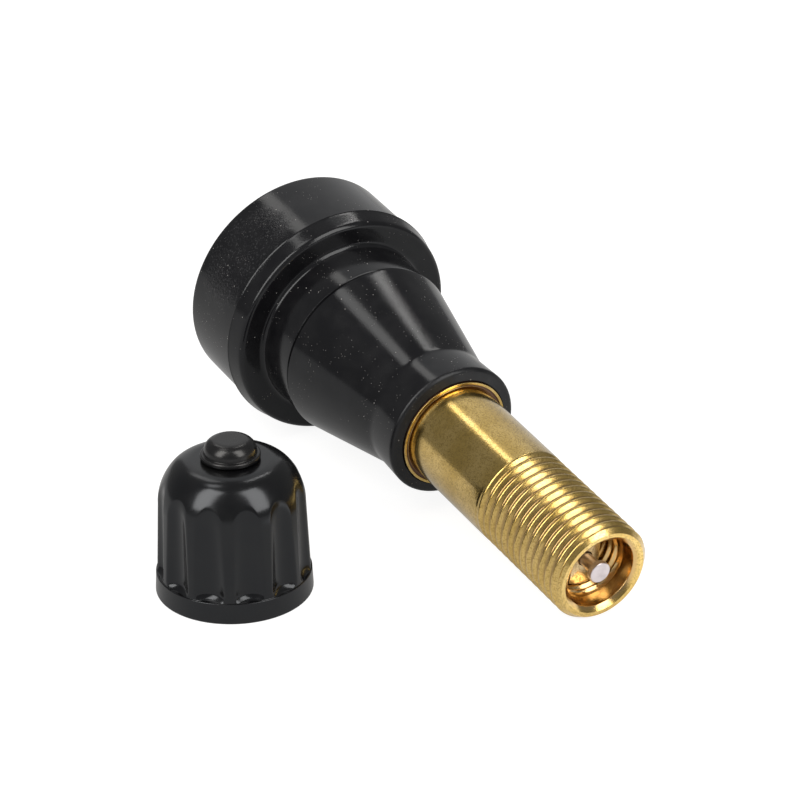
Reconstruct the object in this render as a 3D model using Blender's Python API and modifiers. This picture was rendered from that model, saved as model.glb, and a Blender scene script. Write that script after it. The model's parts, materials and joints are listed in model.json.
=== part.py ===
"""Snap-in tyre valve with its cap taken off: a brass stem bonded into a rubber body, with the valve core
inside. The valve lies on its flange and the tip of its thread, and the cap stands beside it, mouth down.

Each piece is drawn in the valve's own frame, with the rubber's base at height 0 and the mouth at the top.
Heights are measured up from the base. Depths are measured down from the mouth. Metres throughout.
"""

from math import atan2, ceil, cos, hypot, pi, radians, sin, tan

import bmesh
import bpy
from mathutils import Vector

# Whole valve
LENGTH = 0.0440
EXPOSED_LENGTH = 0.0197

# Clearances
BOND_GAP = 0.0001
RUNNING_GAP = 0.0001
SEAT_GAP = 0.00006
AIR_GAP = 0.0003
CAP_THREAD_GAP = 0.0001

# Rubber body: flange, rim neck, cone, collar
FLANGE_R = 0.00936
FLANGE_FRONT_R = 0.00902
FLANGE_REAR_R = 0.00913
FLANGE_LENGTH = 0.0079
PARTING_SETBACK = 0.0016
FLANGE_BASE_ROUND = 0.00035
FLANGE_FRONT_ROUND = 0.0002
NECK_R = 0.00705
NECK_LENGTH = 0.0036
NECK_FILLET = 0.00025
NICK_DEPTH = 0.00015
NICK_FLANK = 0.00011
CONE_R = 0.00716
WAIST_R = 0.00516
WAIST_ROUND = 0.0015
COLLAR_LENGTH = 0.0034
LIP_R = 0.00532
LIP_ROUND = 0.00035
LIP_SLOPE = 0.0002
RING_PROUD = 0.00015
BASE_HOLE_R = 0.0024
BASE_HOLE_ROUND = 0.0003

# Brass stem, outside
STEM_THREAD_R = 0.00385
STEM_THREAD_LENGTH = 0.01075
STEM_THREAD_PITCH = 0.0254 / 32
STEM_THREAD_DEPTH = 0.00043
STEM_THREAD_CREST = 0.00012
STEM_THREAD_START = 0.00065
STEM_CHAMFER = 0.0004
SHANK_R = 0.00387
UNDERCUT_DEPTH = 0.00019
UNDERCUT_WIDTH = 0.0006
RING_HEIGHT = 0.00047
RING_WIDTH = 0.0005
EDGE_CHAMFER = 0.00008
ROOT_R = 0.00345
ANCHOR_RIB = 0.0006
ANCHOR_WIDTH = 0.0015
ANCHOR_PITCH = 0.0045
ANCHOR_COUNT = 2
FOOT_RIB = 0.00115
FOOT_THICKNESS = 0.0014
FOOT_INSET = 0.0044

# Brass stem, bore from the mouth down
MOUTH_FACE_WIDTH = 0.00031
COUNTERSINK_DEPTH = 0.0003
MOUTH_BORE_R = 0.00276
MOUTH_BORE_LENGTH = 0.0012
MOUTH_BORE_CONE = 0.0003
CORE_BORE_R = 0.0026
SEAT_DEPTH = 0.0094
SEAT_LENGTH = 0.0024
SEAT_LEDGE = 0.00018
SEAT_LEAD = 0.0004
CHAMBER_GAP = 0.0003
CHAMBER_FLOOR_CONE = 0.0007
AIR_BORE_R = 0.00125

# Core pin
PIN_HEAD_DEPTH = 0.0003
PIN_HEAD_R = 0.00082
PIN_HEAD_LENGTH = 0.00045
PIN_HEAD_ROUND = 0.00008
PIN_R = 0.00045
PIN_COLLAR_R = 0.00105
PIN_COLLAR_LENGTH = 0.0004
PIN_COLLAR_DROP = 0.0006
PIN_RIVET_R = 0.00075
PIN_RIVET_LENGTH = 0.00035
PIN_TRAVEL = 0.0012

# Core plug
BRIDGE_CLEARANCE = 0.00025
BRIDGE_LENGTH = 0.0017
BRIDGE_WIDTH = 0.0023
BRIDGE_STEP = 0.0003
WINDOW_DEPTH = 0.0023
PLUG_ROOF = 0.0012
PLUG_THREAD_LENGTH = 0.0030
PLUG_CHAMBER_R = 0.0017
PLUG_LIP = 0.0004

# Core barrel and its seal
BARREL_HEAD_LENGTH = 0.0007
BARREL_NECK_R = 0.00128
BARREL_NECK_BORE_R = 0.00092
BARREL_R = 0.0017
BARREL_BORE_R = 0.00118
BARREL_SHOULDER_DROP = 0.0004
BARREL_LENGTH = 0.0107
BARREL_FOOT_LIP = 0.0007
BARREL_FOOT_HOLE_R = 0.0008
SEAL_GROOVE_DEPTH = 0.00025
SEAL_LENGTH = 0.0019
SEAL_SETBACK = 0.0003

# Poppet and spring
WASHER_THICKNESS = 0.0008
WASHER_R = 0.00145
CUP_WALL = 0.00012
CUP_LENGTH = 0.0017
CUP_RIM_SETBACK = 0.0003
SPRING_WIRE_R = 0.00012
SPRING_TURNS = 8
SPRING_CLOSED_TURNS = 1

# Cap shell, heights from its mouth
CAP_WALL = 0.0010
FLUTE_COUNT = 12
FLUTE_DEPTH = 0.00033
FLUTE_CUTTER_R = 0.0016
CAP_TAPER = 0.00024
CAP_RING_HEIGHT = 0.0016
CAP_RING_PROUD = 0.00018
CAP_RING_TAPER = 0.00008
CAP_EDGE_ROUND = 0.00015
CAP_SIDE_HEIGHT = 0.0070
CAP_DOME_R = 0.00394
CAP_DOME_SWEEP = radians(40)
CAP_SHOULDER_R = 0.0022
CAP_SHOULDER_SWEEP = radians(47)
CAP_CROWN_RISE = 0.00004
CAP_CROWN_THICKNESS = 0.00115
CAP_CEILING_ROUND = 0.0007
CAP_MOUTH_RELIEF = 0.0002
CAP_MOUTH_RELIEF_HEIGHT = 0.0012
CAP_MOUTH_CHAMFER = 0.00025

# Cap seal
BUTTON_R = 0.0019
BUTTON_HEIGHT = 0.00105
BUTTON_ROUND = 0.0009
BUTTON_COLLAR_R = 0.00216
BUTTON_COLLAR_HEIGHT = 0.00036
SEAL_STEM_R = 0.0011
SEAL_DISC_THICKNESS = 0.0009
SEAL_DISC_GAP = 0.0002

# Where the cap stands, from the foot of the valve's base centre
CAP_ALONG = 0.0251
CAP_ASIDE = 0.0194
CAP_TURN = radians(12.9)

# Fineness
BODY_STEPS = 32
CORE_STEPS = 24
CAP_STEPS = 60
ROUND_STEP = radians(30)
ROUND_SLACK = 0.01
DOME_STEPS = 3
SHOULDER_STEPS = 3
BUTTON_STEPS = 3
COIL_POINTS = 12
CUT_MARGIN = 0.001
WELD = 0.000001

# Derived places in the valve
THREAD_FLOOR = LENGTH - STEM_THREAD_LENGTH
RING_FACE = LENGTH - EXPOSED_LENGTH
RING_BACK = RING_FACE - RING_WIDTH
RING_R = SHANK_R + RING_HEIGHT
LIP_HEIGHT = RING_FACE - RING_PROUD
ANCHOR_BANDS = [
    (RING_BACK - ANCHOR_PITCH * (i + 1) - ANCHOR_WIDTH, RING_BACK - ANCHOR_PITCH * (i + 1))
    for i in range(ANCHOR_COUNT)
]
ANCHOR_R = ROOT_R + ANCHOR_RIB
FOOT_R = ROOT_R + FOOT_RIB
FOOT_TOP = FOOT_INSET + FOOT_THICKNESS

# Derived places in the core, as depths from the mouth
BRIDGE_TOP = PIN_HEAD_DEPTH + PIN_HEAD_LENGTH + PIN_TRAVEL + BRIDGE_CLEARANCE
PLUG_THREAD_TOP = BRIDGE_TOP + BRIDGE_LENGTH
PLUG_END = PLUG_THREAD_TOP + PLUG_THREAD_LENGTH
PLUG_CHAMBER_TOP = BRIDGE_TOP + PLUG_ROOF
PLUG_R = CORE_BORE_R - RUNNING_GAP
PLUG_LIP_HOLE_R = BARREL_NECK_R + RUNNING_GAP
PIN_HOLE_R = PIN_R + RUNNING_GAP
BARREL_HEAD_R = PLUG_CHAMBER_R - RUNNING_GAP
BARREL_HEAD_END = PLUG_END - PLUG_LIP - RUNNING_GAP
BARREL_HEAD_TOP = BARREL_HEAD_END - BARREL_HEAD_LENGTH
BARREL_TOP = PLUG_END + BARREL_SHOULDER_DROP
BARREL_END = BARREL_TOP + BARREL_LENGTH
BARREL_FOOT_TOP = BARREL_END - BARREL_FOOT_LIP
BARREL_BORE_TOP = BARREL_TOP + BARREL_SHOULDER_DROP
CHAMBER_R = BARREL_R + CHAMBER_GAP
SEAT_TOP_R = CORE_BORE_R - SEAT_LEDGE
SEAL_TOP = SEAT_DEPTH + SEAL_SETBACK
SEAL_END = SEAL_TOP + SEAL_LENGTH
SEAL_GROOVE_R = BARREL_R - SEAL_GROOVE_DEPTH
PIN_COLLAR_TOP = BARREL_BORE_TOP + PIN_COLLAR_DROP
PIN_COLLAR_END = PIN_COLLAR_TOP + PIN_COLLAR_LENGTH
WASHER_TOP = BARREL_END + SEAT_GAP
WASHER_END = WASHER_TOP + WASHER_THICKNESS
CUP_R = WASHER_R + RUNNING_GAP + CUP_WALL
CUP_TOP = WASHER_TOP + CUP_RIM_SETBACK
CUP_END = CUP_TOP + CUP_LENGTH
RIVET_TOP = CUP_END + SEAT_GAP
PIN_END = RIVET_TOP + PIN_RIVET_LENGTH
CHAMBER_END = PIN_END + PIN_TRAVEL + AIR_GAP

# Derived places in the cap
CAP_BORE_R = STEM_THREAD_R + CAP_THREAD_GAP
FLUTE_FLOOR_R = CAP_BORE_R + CAP_WALL
CAP_TOP_R = FLUTE_FLOOR_R + FLUTE_DEPTH
CAP_BODY_R = CAP_TOP_R + CAP_TAPER
CAP_RING_R = CAP_BODY_R + CAP_RING_PROUD
SHOULDER_CENTRE_R = CAP_TOP_R - CAP_DOME_R + (CAP_DOME_R - CAP_SHOULDER_R) * cos(CAP_DOME_SWEEP)
SHOULDER_CENTRE = CAP_SIDE_HEIGHT + (CAP_DOME_R - CAP_SHOULDER_R) * sin(CAP_DOME_SWEEP)
CROWN_ANGLE = CAP_DOME_SWEEP + CAP_SHOULDER_SWEEP
CROWN_HOLE_R = SEAL_STEM_R + RUNNING_GAP
CROWN_TOP = SHOULDER_CENTRE + CAP_SHOULDER_R * sin(CROWN_ANGLE) + CAP_CROWN_RISE
CAP_CEILING = CROWN_TOP - CAP_CROWN_THICKNESS
BUTTON_COLLAR_FLOOR = CROWN_TOP + RUNNING_GAP
BUTTON_FLOOR = BUTTON_COLLAR_FLOOR + BUTTON_COLLAR_HEIGHT
BUTTON_TOP = BUTTON_FLOOR + BUTTON_HEIGHT
SEAL_DISC_TOP = CAP_CEILING - RUNNING_GAP
SEAL_DISC_FLOOR = SEAL_DISC_TOP - SEAL_DISC_THICKNESS
SEAL_DISC_R = CAP_BORE_R - SEAL_DISC_GAP

# Lying pose: the flange's widest ring and the thread's first full turn touch the ground.
PARTING_HEIGHT = FLANGE_LENGTH - PARTING_SETBACK
TIP_CONTACT_HEIGHT = LENGTH - STEM_CHAMFER
REST_RUN = TIP_CONTACT_HEIGHT - PARTING_HEIGHT
REST_TILT = atan2(FLANGE_R - STEM_THREAD_R, REST_RUN)
BASE_CENTRE_HEIGHT = FLANGE_R * cos(REST_TILT) + PARTING_HEIGHT * sin(REST_TILT)


def clear_scene():
    for obj in list(bpy.data.objects):
        bpy.data.objects.remove(obj, do_unlink=True)


def collection(name):
    made = bpy.data.collections.new(name)
    bpy.context.scene.collection.children.link(made)
    return made


def material(name, colour, roughness, metallic=0.0):
    made = bpy.data.materials.new(name)
    made.use_nodes = True
    shader = made.node_tree.nodes["Principled BSDF"]
    shader.inputs["Base Color"].default_value = (*colour, 1)
    shader.inputs["Roughness"].default_value = roughness
    shader.inputs["Metallic"].default_value = metallic
    return made


def empty(name, parent=None, location=(0, 0, 0), rotation=(0, 0, 0)):
    made = bpy.data.objects.new(name, None)
    made.parent = parent
    made.location = location
    made.rotation_euler = rotation
    parts.objects.link(made)
    return made


def arc(centre_r, centre_z, radius, start, end, steps):
    """Points of an arc in the plane of radius and height, from one angle to another."""
    angles = [start + (end - start) * i / steps for i in range(steps + 1)]
    return [(centre_r + radius * cos(a), centre_z + radius * sin(a)) for a in angles]


def rounded(corners):
    """An outline through (radius, height) corners. A third number rounds that corner with a tangent arc."""
    points = []
    for i, corner in enumerate(corners):
        here = Vector(corner[:2])
        if len(corner) == 2:
            points.append(tuple(here))
            continue
        back = Vector(corners[i - 1][:2]) - here
        onward = Vector(corners[(i + 1) % len(corners)][:2]) - here
        half = back.angle(onward) / 2
        reach = min(corner[2] / tan(half), back.length / 2, onward.length / 2)
        start = here + back.normalized() * reach
        finish = here + onward.normalized() * reach
        centre = here + (back.normalized() + onward.normalized()).normalized() * hypot(reach, reach * tan(half))
        spoke = start - centre
        turn = spoke.angle_signed(finish - centre)
        steps = max(1, ceil(abs(turn) / ROUND_STEP - ROUND_SLACK))
        for step in range(steps + 1):
            a = -turn * step / steps
            x = spoke.x * cos(a) - spoke.y * sin(a)
            y = spoke.x * sin(a) + spoke.y * cos(a)
            points.append((centre.x + x, centre.y + y))
    return points


def turned(name, outline, finish, steps, parent, ring=True):
    """A turned piece: the outline runs down the outer side, and back up inside when it is a ring."""
    mesh = bpy.data.meshes.new(name)
    form = bmesh.new()
    corners = [form.verts.new((r, 0, z)) for r, z in outline]
    for first, second in zip(corners, corners[1:]):
        form.edges.new((first, second))
    if ring:
        form.edges.new((corners[-1], corners[0]))
    form.to_mesh(mesh)
    form.free()
    mesh.materials.append(finish)
    obj = bpy.data.objects.new(name, mesh)
    obj.parent = parent
    parts.objects.link(obj)
    screw = obj.modifiers.new("Turn", "SCREW")
    screw.steps = steps
    screw.render_steps = steps
    screw.use_merge_vertices = True
    screw.merge_threshold = 0.00001
    screw.use_smooth_shade = True
    return obj


def cut(obj, cutter):
    cutter.hide_render = True
    cutter.display_type = "WIRE"
    modifier = obj.modifiers.new("Cut", "BOOLEAN")
    modifier.operation = "DIFFERENCE"
    modifier.solver = "EXACT"
    modifier.object = cutter


def from_mouth(outline):
    """Turns (radius, depth) corners into (radius, height), and keeps any rounding."""
    return [(corner[0], LENGTH - corner[1], *corner[2:]) for corner in outline]


def make_rubber_body():
    """One moulding: flange with its parting step, rim neck, cone, waist and collar, round the brass root."""
    neck_top = FLANGE_LENGTH + NECK_LENGTH
    outside = [
        (LIP_R, LIP_HEIGHT - LIP_SLOPE, LIP_ROUND),
        (WAIST_R, LIP_HEIGHT - COLLAR_LENGTH, WAIST_ROUND),
        (CONE_R, neck_top + 2 * NICK_FLANK),
        (NECK_R - NICK_DEPTH, neck_top + NICK_FLANK),
        (NECK_R, neck_top),
        (NECK_R, FLANGE_LENGTH, NECK_FILLET),
        (FLANGE_FRONT_R, FLANGE_LENGTH, FLANGE_FRONT_ROUND),
        (FLANGE_R, PARTING_HEIGHT),
        (FLANGE_REAR_R, PARTING_HEIGHT),
        (FLANGE_REAR_R, 0, FLANGE_BASE_ROUND),
    ]
    inside = [
        (BASE_HOLE_R, 0, BASE_HOLE_ROUND),
        (BASE_HOLE_R, FOOT_INSET - BOND_GAP),
        (FOOT_R + BOND_GAP, FOOT_INSET - BOND_GAP),
        (FOOT_R + BOND_GAP, FOOT_TOP + BOND_GAP),
        (ROOT_R + BOND_GAP, FOOT_TOP + BOND_GAP),
    ]
    for low, high in reversed(ANCHOR_BANDS):
        inside += [
            (ROOT_R + BOND_GAP, low - BOND_GAP),
            (ANCHOR_R + BOND_GAP, low - BOND_GAP),
            (ANCHOR_R + BOND_GAP, high + BOND_GAP),
            (ROOT_R + BOND_GAP, high + BOND_GAP),
        ]
    inside += [
        (ROOT_R + BOND_GAP, RING_BACK - BOND_GAP),
        (RING_R + BOND_GAP, RING_BACK - BOND_GAP),
        (RING_R + BOND_GAP, LIP_HEIGHT),
    ]
    turned("rubber_body", rounded(outside + inside), rubber, BODY_STEPS, valve_axis)


def stem_thread_r(height, rise):
    """Radius of the outside thread. It is chamfered at the mouth and runs out into the shank."""
    face_r = STEM_THREAD_R - STEM_CHAMFER
    if height >= LENGTH:
        return face_r
    full = STEM_THREAD_R - STEM_THREAD_DEPTH * (1 - rise)
    run_out = min(1, (height - THREAD_FLOOR) / STEM_THREAD_PITCH)
    return min(SHANK_R + (full - SHANK_R) * run_out, face_r + LENGTH - height)


def thread_skin(form, low, high, steps):
    """The skin of the outside thread between two heights. A flat crest and a sharp root follow each other up
    each column, and every column starts a little higher than the one before. After one turn the last meets
    the first a whole pitch up. What would pass an end lies on it, so the skin ends in two plain rings."""
    turns = ceil((high - low) / STEM_THREAD_PITCH) + 2
    corners = [(-STEM_THREAD_CREST / 2, 1), (STEM_THREAD_CREST / 2, 1), (STEM_THREAD_PITCH / 2, 0)]
    columns = []
    for step in range(steps):
        angle = 2 * pi * step / steps
        column = []
        for turn in range(-2, turns):
            for offset, rise in corners:
                climb = (turn + step / steps) * STEM_THREAD_PITCH
                height = min(max(low + STEM_THREAD_START + climb + offset, low), high)
                radius = stem_thread_r(height, rise)
                column.append(form.verts.new((radius * cos(angle), radius * sin(angle), height)))
        columns.append(column)
    columns.append(columns[0][len(corners):])
    for left, right in zip(columns, columns[1:]):
        for i in range(len(right) - 1):
            form.faces.new((left[i], right[i], right[i + 1], left[i + 1]))


def make_valve_stem():
    """One turning, bored through: mouth, thread, shank, undercut, shoulder ring, ribbed root and foot."""
    face_r = STEM_THREAD_R - STEM_CHAMFER
    undercut_r = SHANK_R - UNDERCUT_DEPTH
    undercut_top = RING_FACE + UNDERCUT_WIDTH
    outside = [
        (SHANK_R, THREAD_FLOOR),
        (SHANK_R, undercut_top + EDGE_CHAMFER),
        (SHANK_R - EDGE_CHAMFER, undercut_top),
        (undercut_r, undercut_top),
        (undercut_r, RING_FACE),
        (RING_R - EDGE_CHAMFER, RING_FACE),
        (RING_R, RING_FACE - EDGE_CHAMFER),
        (RING_R, RING_BACK),
        (ROOT_R, RING_BACK),
    ]
    for low, high in ANCHOR_BANDS:
        outside += [(ROOT_R, high), (ANCHOR_R, high), (ANCHOR_R, low), (ROOT_R, low)]
    outside += [(ROOT_R, FOOT_TOP), (FOOT_R, FOOT_TOP), (FOOT_R, FOOT_INSET)]
    bore = from_mouth(
        [
            (AIR_BORE_R, LENGTH - FOOT_INSET),
            (AIR_BORE_R, CHAMBER_END + CHAMBER_FLOOR_CONE),
            (CHAMBER_R, CHAMBER_END),
            (CHAMBER_R, SEAT_DEPTH + SEAT_LENGTH),
            (SEAT_TOP_R, SEAT_DEPTH),
            (CORE_BORE_R, SEAT_DEPTH - SEAT_LEAD),
            (CORE_BORE_R, COUNTERSINK_DEPTH + MOUTH_BORE_LENGTH + MOUTH_BORE_CONE),
            (MOUTH_BORE_R, COUNTERSINK_DEPTH + MOUTH_BORE_LENGTH),
            (MOUTH_BORE_R, COUNTERSINK_DEPTH),
            (face_r - MOUTH_FACE_WIDTH, 0),
            (face_r, 0),
        ]
    )
    form = bmesh.new()
    corners = [form.verts.new((r, 0, z)) for r, z in outside + bore]
    edges = [form.edges.new(pair) for pair in zip(corners, corners[1:])]
    bmesh.ops.spin(
        form,
        geom=corners + edges,
        axis=(0, 0, 1),
        cent=(0, 0, 0),
        angle=2 * pi,
        steps=CORE_STEPS,
        use_merge=True,
    )
    thread_skin(form, THREAD_FLOOR, LENGTH, CORE_STEPS)
    bmesh.ops.remove_doubles(form, verts=form.verts, dist=WELD)
    bmesh.ops.recalc_face_normals(form, faces=form.faces)
    mesh = bpy.data.meshes.new("valve_stem")
    form.to_mesh(mesh)
    form.free()
    mesh.materials.append(brass)
    mesh.shade_smooth()
    mesh.set_sharp_from_angle(angle=ROUND_STEP)
    stem = bpy.data.objects.new("valve_stem", mesh)
    stem.parent = valve_axis
    parts.objects.link(stem)


def make_core_plug():
    """The core's threaded head. Two flats leave a bridge for the pin and open windows into the chamber."""
    head_r = PLUG_R - BRIDGE_STEP
    outline = [
        (head_r, BRIDGE_TOP),
        (head_r, PLUG_THREAD_TOP),
        (PLUG_R, PLUG_THREAD_TOP + BRIDGE_STEP),
        (PLUG_R, PLUG_END),
        (PLUG_LIP_HOLE_R, PLUG_END),
        (PLUG_LIP_HOLE_R, PLUG_END - PLUG_LIP),
        (PLUG_CHAMBER_R, PLUG_END - PLUG_LIP),
        (PLUG_CHAMBER_R, PLUG_CHAMBER_TOP),
        (PIN_HOLE_R, PLUG_CHAMBER_TOP),
        (PIN_HOLE_R, BRIDGE_TOP),
    ]
    plug = turned("core_plug", from_mouth(outline), core_brass, CORE_STEPS, valve_axis)
    flats = bpy.data.meshes.new("plug_flats")
    form = bmesh.new()
    flat_width = head_r - BRIDGE_WIDTH / 2 + CUT_MARGIN
    flat_height = WINDOW_DEPTH + CUT_MARGIN
    for side in (-1, 1):
        block = bmesh.ops.create_cube(form, size=1)["verts"]
        bmesh.ops.scale(form, vec=(2 * PLUG_R + CUT_MARGIN, flat_width, flat_height), verts=block)
        middle = LENGTH - BRIDGE_TOP - WINDOW_DEPTH + flat_height / 2
        offset = (0, side * (BRIDGE_WIDTH + flat_width) / 2, middle)
        bmesh.ops.translate(form, vec=offset, verts=block)
    form.to_mesh(flats)
    form.free()
    cutter = bpy.data.objects.new("plug_flats", flats)
    cutter.parent = valve_axis
    cutters.objects.link(cutter)
    cut(plug, cutter)


def make_core_barrel():
    """The tube that swivels in the plug: head, neck, shouldered body with its seal groove, and foot lip."""
    outline = [
        (BARREL_HEAD_R, BARREL_HEAD_TOP),
        (BARREL_HEAD_R, BARREL_HEAD_END),
        (BARREL_NECK_R, BARREL_HEAD_END),
        (BARREL_NECK_R, BARREL_TOP),
        (BARREL_R, BARREL_TOP),
        (BARREL_R, SEAL_TOP),
        (SEAL_GROOVE_R, SEAL_TOP),
        (SEAL_GROOVE_R, SEAL_END),
        (BARREL_R, SEAL_END),
        (BARREL_R, BARREL_END),
        (BARREL_FOOT_HOLE_R, BARREL_END),
        (BARREL_FOOT_HOLE_R, BARREL_FOOT_TOP),
        (BARREL_BORE_R, BARREL_FOOT_TOP),
        (BARREL_BORE_R, BARREL_BORE_TOP),
        (BARREL_NECK_BORE_R, BARREL_BORE_TOP),
        (BARREL_NECK_BORE_R, BARREL_HEAD_TOP),
    ]
    turned("core_barrel", from_mouth(outline), core_brass, CORE_STEPS, valve_axis)


def seat_radius(depth):
    """Radius of the stem's conical core seat at a depth from the mouth."""
    share = (depth - SEAT_DEPTH) / SEAT_LENGTH
    return SEAT_TOP_R + (CHAMBER_R - SEAT_TOP_R) * share


def make_barrel_seal():
    """The ring in the barrel's groove, coned to the stem's seat."""
    top = SEAL_TOP + SEAT_GAP
    end = SEAL_END - SEAT_GAP
    outline = [
        (seat_radius(top) - SEAT_GAP, top),
        (seat_radius(end) - SEAT_GAP, end),
        (SEAL_GROOVE_R + SEAT_GAP, end),
        (SEAL_GROOVE_R + SEAT_GAP, top),
    ]
    turned("barrel_seal", from_mouth(outline), seal_plastic, CORE_STEPS, valve_axis)


def make_core_pin():
    """The pin: rounded head at the mouth, thin shank, spring collar inside the barrel, riveted end."""
    outline = [
        (0, PIN_HEAD_DEPTH),
        (PIN_HEAD_R, PIN_HEAD_DEPTH, PIN_HEAD_ROUND),
        (PIN_HEAD_R, PIN_HEAD_DEPTH + PIN_HEAD_LENGTH),
        (PIN_R, PIN_HEAD_DEPTH + PIN_HEAD_LENGTH),
        (PIN_R, PIN_COLLAR_TOP),
        (PIN_COLLAR_R, PIN_COLLAR_TOP),
        (PIN_COLLAR_R, PIN_COLLAR_END),
        (PIN_R, PIN_COLLAR_END),
        (PIN_R, RIVET_TOP),
        (PIN_RIVET_R, RIVET_TOP),
        (PIN_RIVET_R, PIN_END),
        (0, PIN_END),
    ]
    place_on_slide(turned("core_pin", rounded(from_mouth(outline)), pin_metal, CORE_STEPS, None, ring=False))


def make_poppet():
    """The washer that shuts the barrel's end, and the cup that carries it on the pin."""
    washer = [
        (WASHER_R, WASHER_TOP),
        (WASHER_R, WASHER_END),
        (PIN_R + SEAT_GAP, WASHER_END),
        (PIN_R + SEAT_GAP, WASHER_TOP),
    ]
    place_on_slide(turned("poppet_seal", from_mouth(washer), rubber, CORE_STEPS, None))
    cup = [
        (CUP_R, CUP_TOP),
        (CUP_R, CUP_END),
        (PIN_R + SEAT_GAP, CUP_END),
        (PIN_R + SEAT_GAP, WASHER_END + SEAT_GAP),
        (CUP_R - CUP_WALL, WASHER_END + SEAT_GAP),
        (CUP_R - CUP_WALL, CUP_TOP),
    ]
    place_on_slide(turned("poppet_cup", from_mouth(cup), core_brass, CORE_STEPS, None))


def place_on_slide(obj):
    """Hangs a moving piece on the pin's slide, with its shape where it was drawn."""
    obj.parent = pin_slide
    obj.location = -pin_slide.location


def make_pin_spring():
    """A coil from the pin's collar to the barrel's foot lip, with its end turns closed."""
    top = LENGTH - PIN_COLLAR_END - SEAT_GAP - SPRING_WIRE_R
    foot = LENGTH - BARREL_FOOT_TOP + SEAT_GAP + SPRING_WIRE_R
    coil_r = BARREL_BORE_R - SEAT_GAP - SPRING_WIRE_R
    closed_pitch = 2 * SPRING_WIRE_R + SEAT_GAP
    open_turns = SPRING_TURNS - 2 * SPRING_CLOSED_TURNS
    open_pitch = (top - foot - 2 * SPRING_CLOSED_TURNS * closed_pitch) / open_turns
    curve = bpy.data.curves.new("pin_spring", "CURVE")
    curve.dimensions = "3D"
    curve.bevel_depth = SPRING_WIRE_R
    curve.bevel_resolution = 2
    curve.use_fill_caps = True
    curve.materials.append(spring_steel)
    count = SPRING_TURNS * COIL_POINTS + 1
    wire = curve.splines.new("POLY")
    wire.points.add(count - 1)
    height = foot
    for i, point in enumerate(wire.points):
        turns = i / COIL_POINTS
        point.co = (coil_r * cos(2 * pi * turns), coil_r * sin(2 * pi * turns), height, 1)
        closed = turns < SPRING_CLOSED_TURNS or turns >= SPRING_TURNS - SPRING_CLOSED_TURNS
        height += (closed_pitch if closed else open_pitch) / COIL_POINTS
    obj = bpy.data.objects.new("pin_spring", curve)
    obj.parent = valve_axis
    parts.objects.link(obj)


def make_cap_shell():
    """The moulded cap: base ring, tapered and fluted side, dome, rounded crown with a hole, and bore."""
    shoulder = arc(
        SHOULDER_CENTRE_R, SHOULDER_CENTRE, CAP_SHOULDER_R, CROWN_ANGLE, CAP_DOME_SWEEP, SHOULDER_STEPS
    )
    dome = arc(CAP_TOP_R - CAP_DOME_R, CAP_SIDE_HEIGHT, CAP_DOME_R, CAP_DOME_SWEEP, 0, DOME_STEPS)
    mouth_r = CAP_BORE_R + CAP_MOUTH_RELIEF
    outline = [
        (CROWN_HOLE_R, CROWN_TOP),
        *shoulder[:-1],
        *dome,
        (CAP_BODY_R, CAP_RING_HEIGHT),
        (CAP_RING_R - CAP_RING_TAPER, CAP_RING_HEIGHT, CAP_EDGE_ROUND),
        (CAP_RING_R, 0, CAP_EDGE_ROUND),
        (mouth_r + CAP_MOUTH_CHAMFER, 0),
        (mouth_r, CAP_MOUTH_CHAMFER),
        (mouth_r, CAP_MOUTH_RELIEF_HEIGHT),
        (CAP_BORE_R, CAP_MOUTH_RELIEF_HEIGHT + CAP_MOUTH_RELIEF),
        (CAP_BORE_R, CAP_CEILING, CAP_CEILING_ROUND),
        (CROWN_HOLE_R, CAP_CEILING),
    ]
    shell = turned("cap_shell", rounded(outline), cap_plastic, CAP_STEPS, cap_axis)
    flutes = bpy.data.meshes.new("cap_flutes")
    form = bmesh.new()
    length = CROWN_TOP - CAP_RING_HEIGHT
    for i in range(FLUTE_COUNT):
        angle = 2 * pi * i / FLUTE_COUNT
        reach = FLUTE_FLOOR_R + FLUTE_CUTTER_R
        rod = bmesh.ops.create_cone(
            form,
            cap_ends=True,
            segments=CORE_STEPS,
            radius1=FLUTE_CUTTER_R,
            radius2=FLUTE_CUTTER_R,
            depth=length,
        )["verts"]
        middle = CAP_RING_HEIGHT + length / 2
        bmesh.ops.translate(form, vec=(reach * cos(angle), reach * sin(angle), middle), verts=rod)
    form.to_mesh(flutes)
    form.free()
    cutter = bpy.data.objects.new("cap_flutes", flutes)
    cutter.parent = cap_axis
    cutters.objects.link(cutter)
    cut(shell, cutter)


def make_cap_seal():
    """The cap's rubber seal: disc under the crown, stem through it, collar and domed button on top."""
    outline = [
        (0, BUTTON_TOP),
        *arc(BUTTON_R - BUTTON_ROUND, BUTTON_TOP - BUTTON_ROUND, BUTTON_ROUND, pi / 2, 0, BUTTON_STEPS),
        (BUTTON_R, BUTTON_FLOOR),
        (BUTTON_COLLAR_R - EDGE_CHAMFER, BUTTON_FLOOR),
        (BUTTON_COLLAR_R, BUTTON_FLOOR - EDGE_CHAMFER),
        (BUTTON_COLLAR_R, BUTTON_COLLAR_FLOOR),
        (SEAL_STEM_R, BUTTON_COLLAR_FLOOR),
        (SEAL_STEM_R, SEAL_DISC_TOP),
        (SEAL_DISC_R, SEAL_DISC_TOP, CAP_CEILING_ROUND),
        (SEAL_DISC_R, SEAL_DISC_FLOOR),
        (0, SEAL_DISC_FLOOR),
    ]
    turned("cap_seal", rounded(outline), cap_rubber, CORE_STEPS, cap_axis, ring=False)


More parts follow.
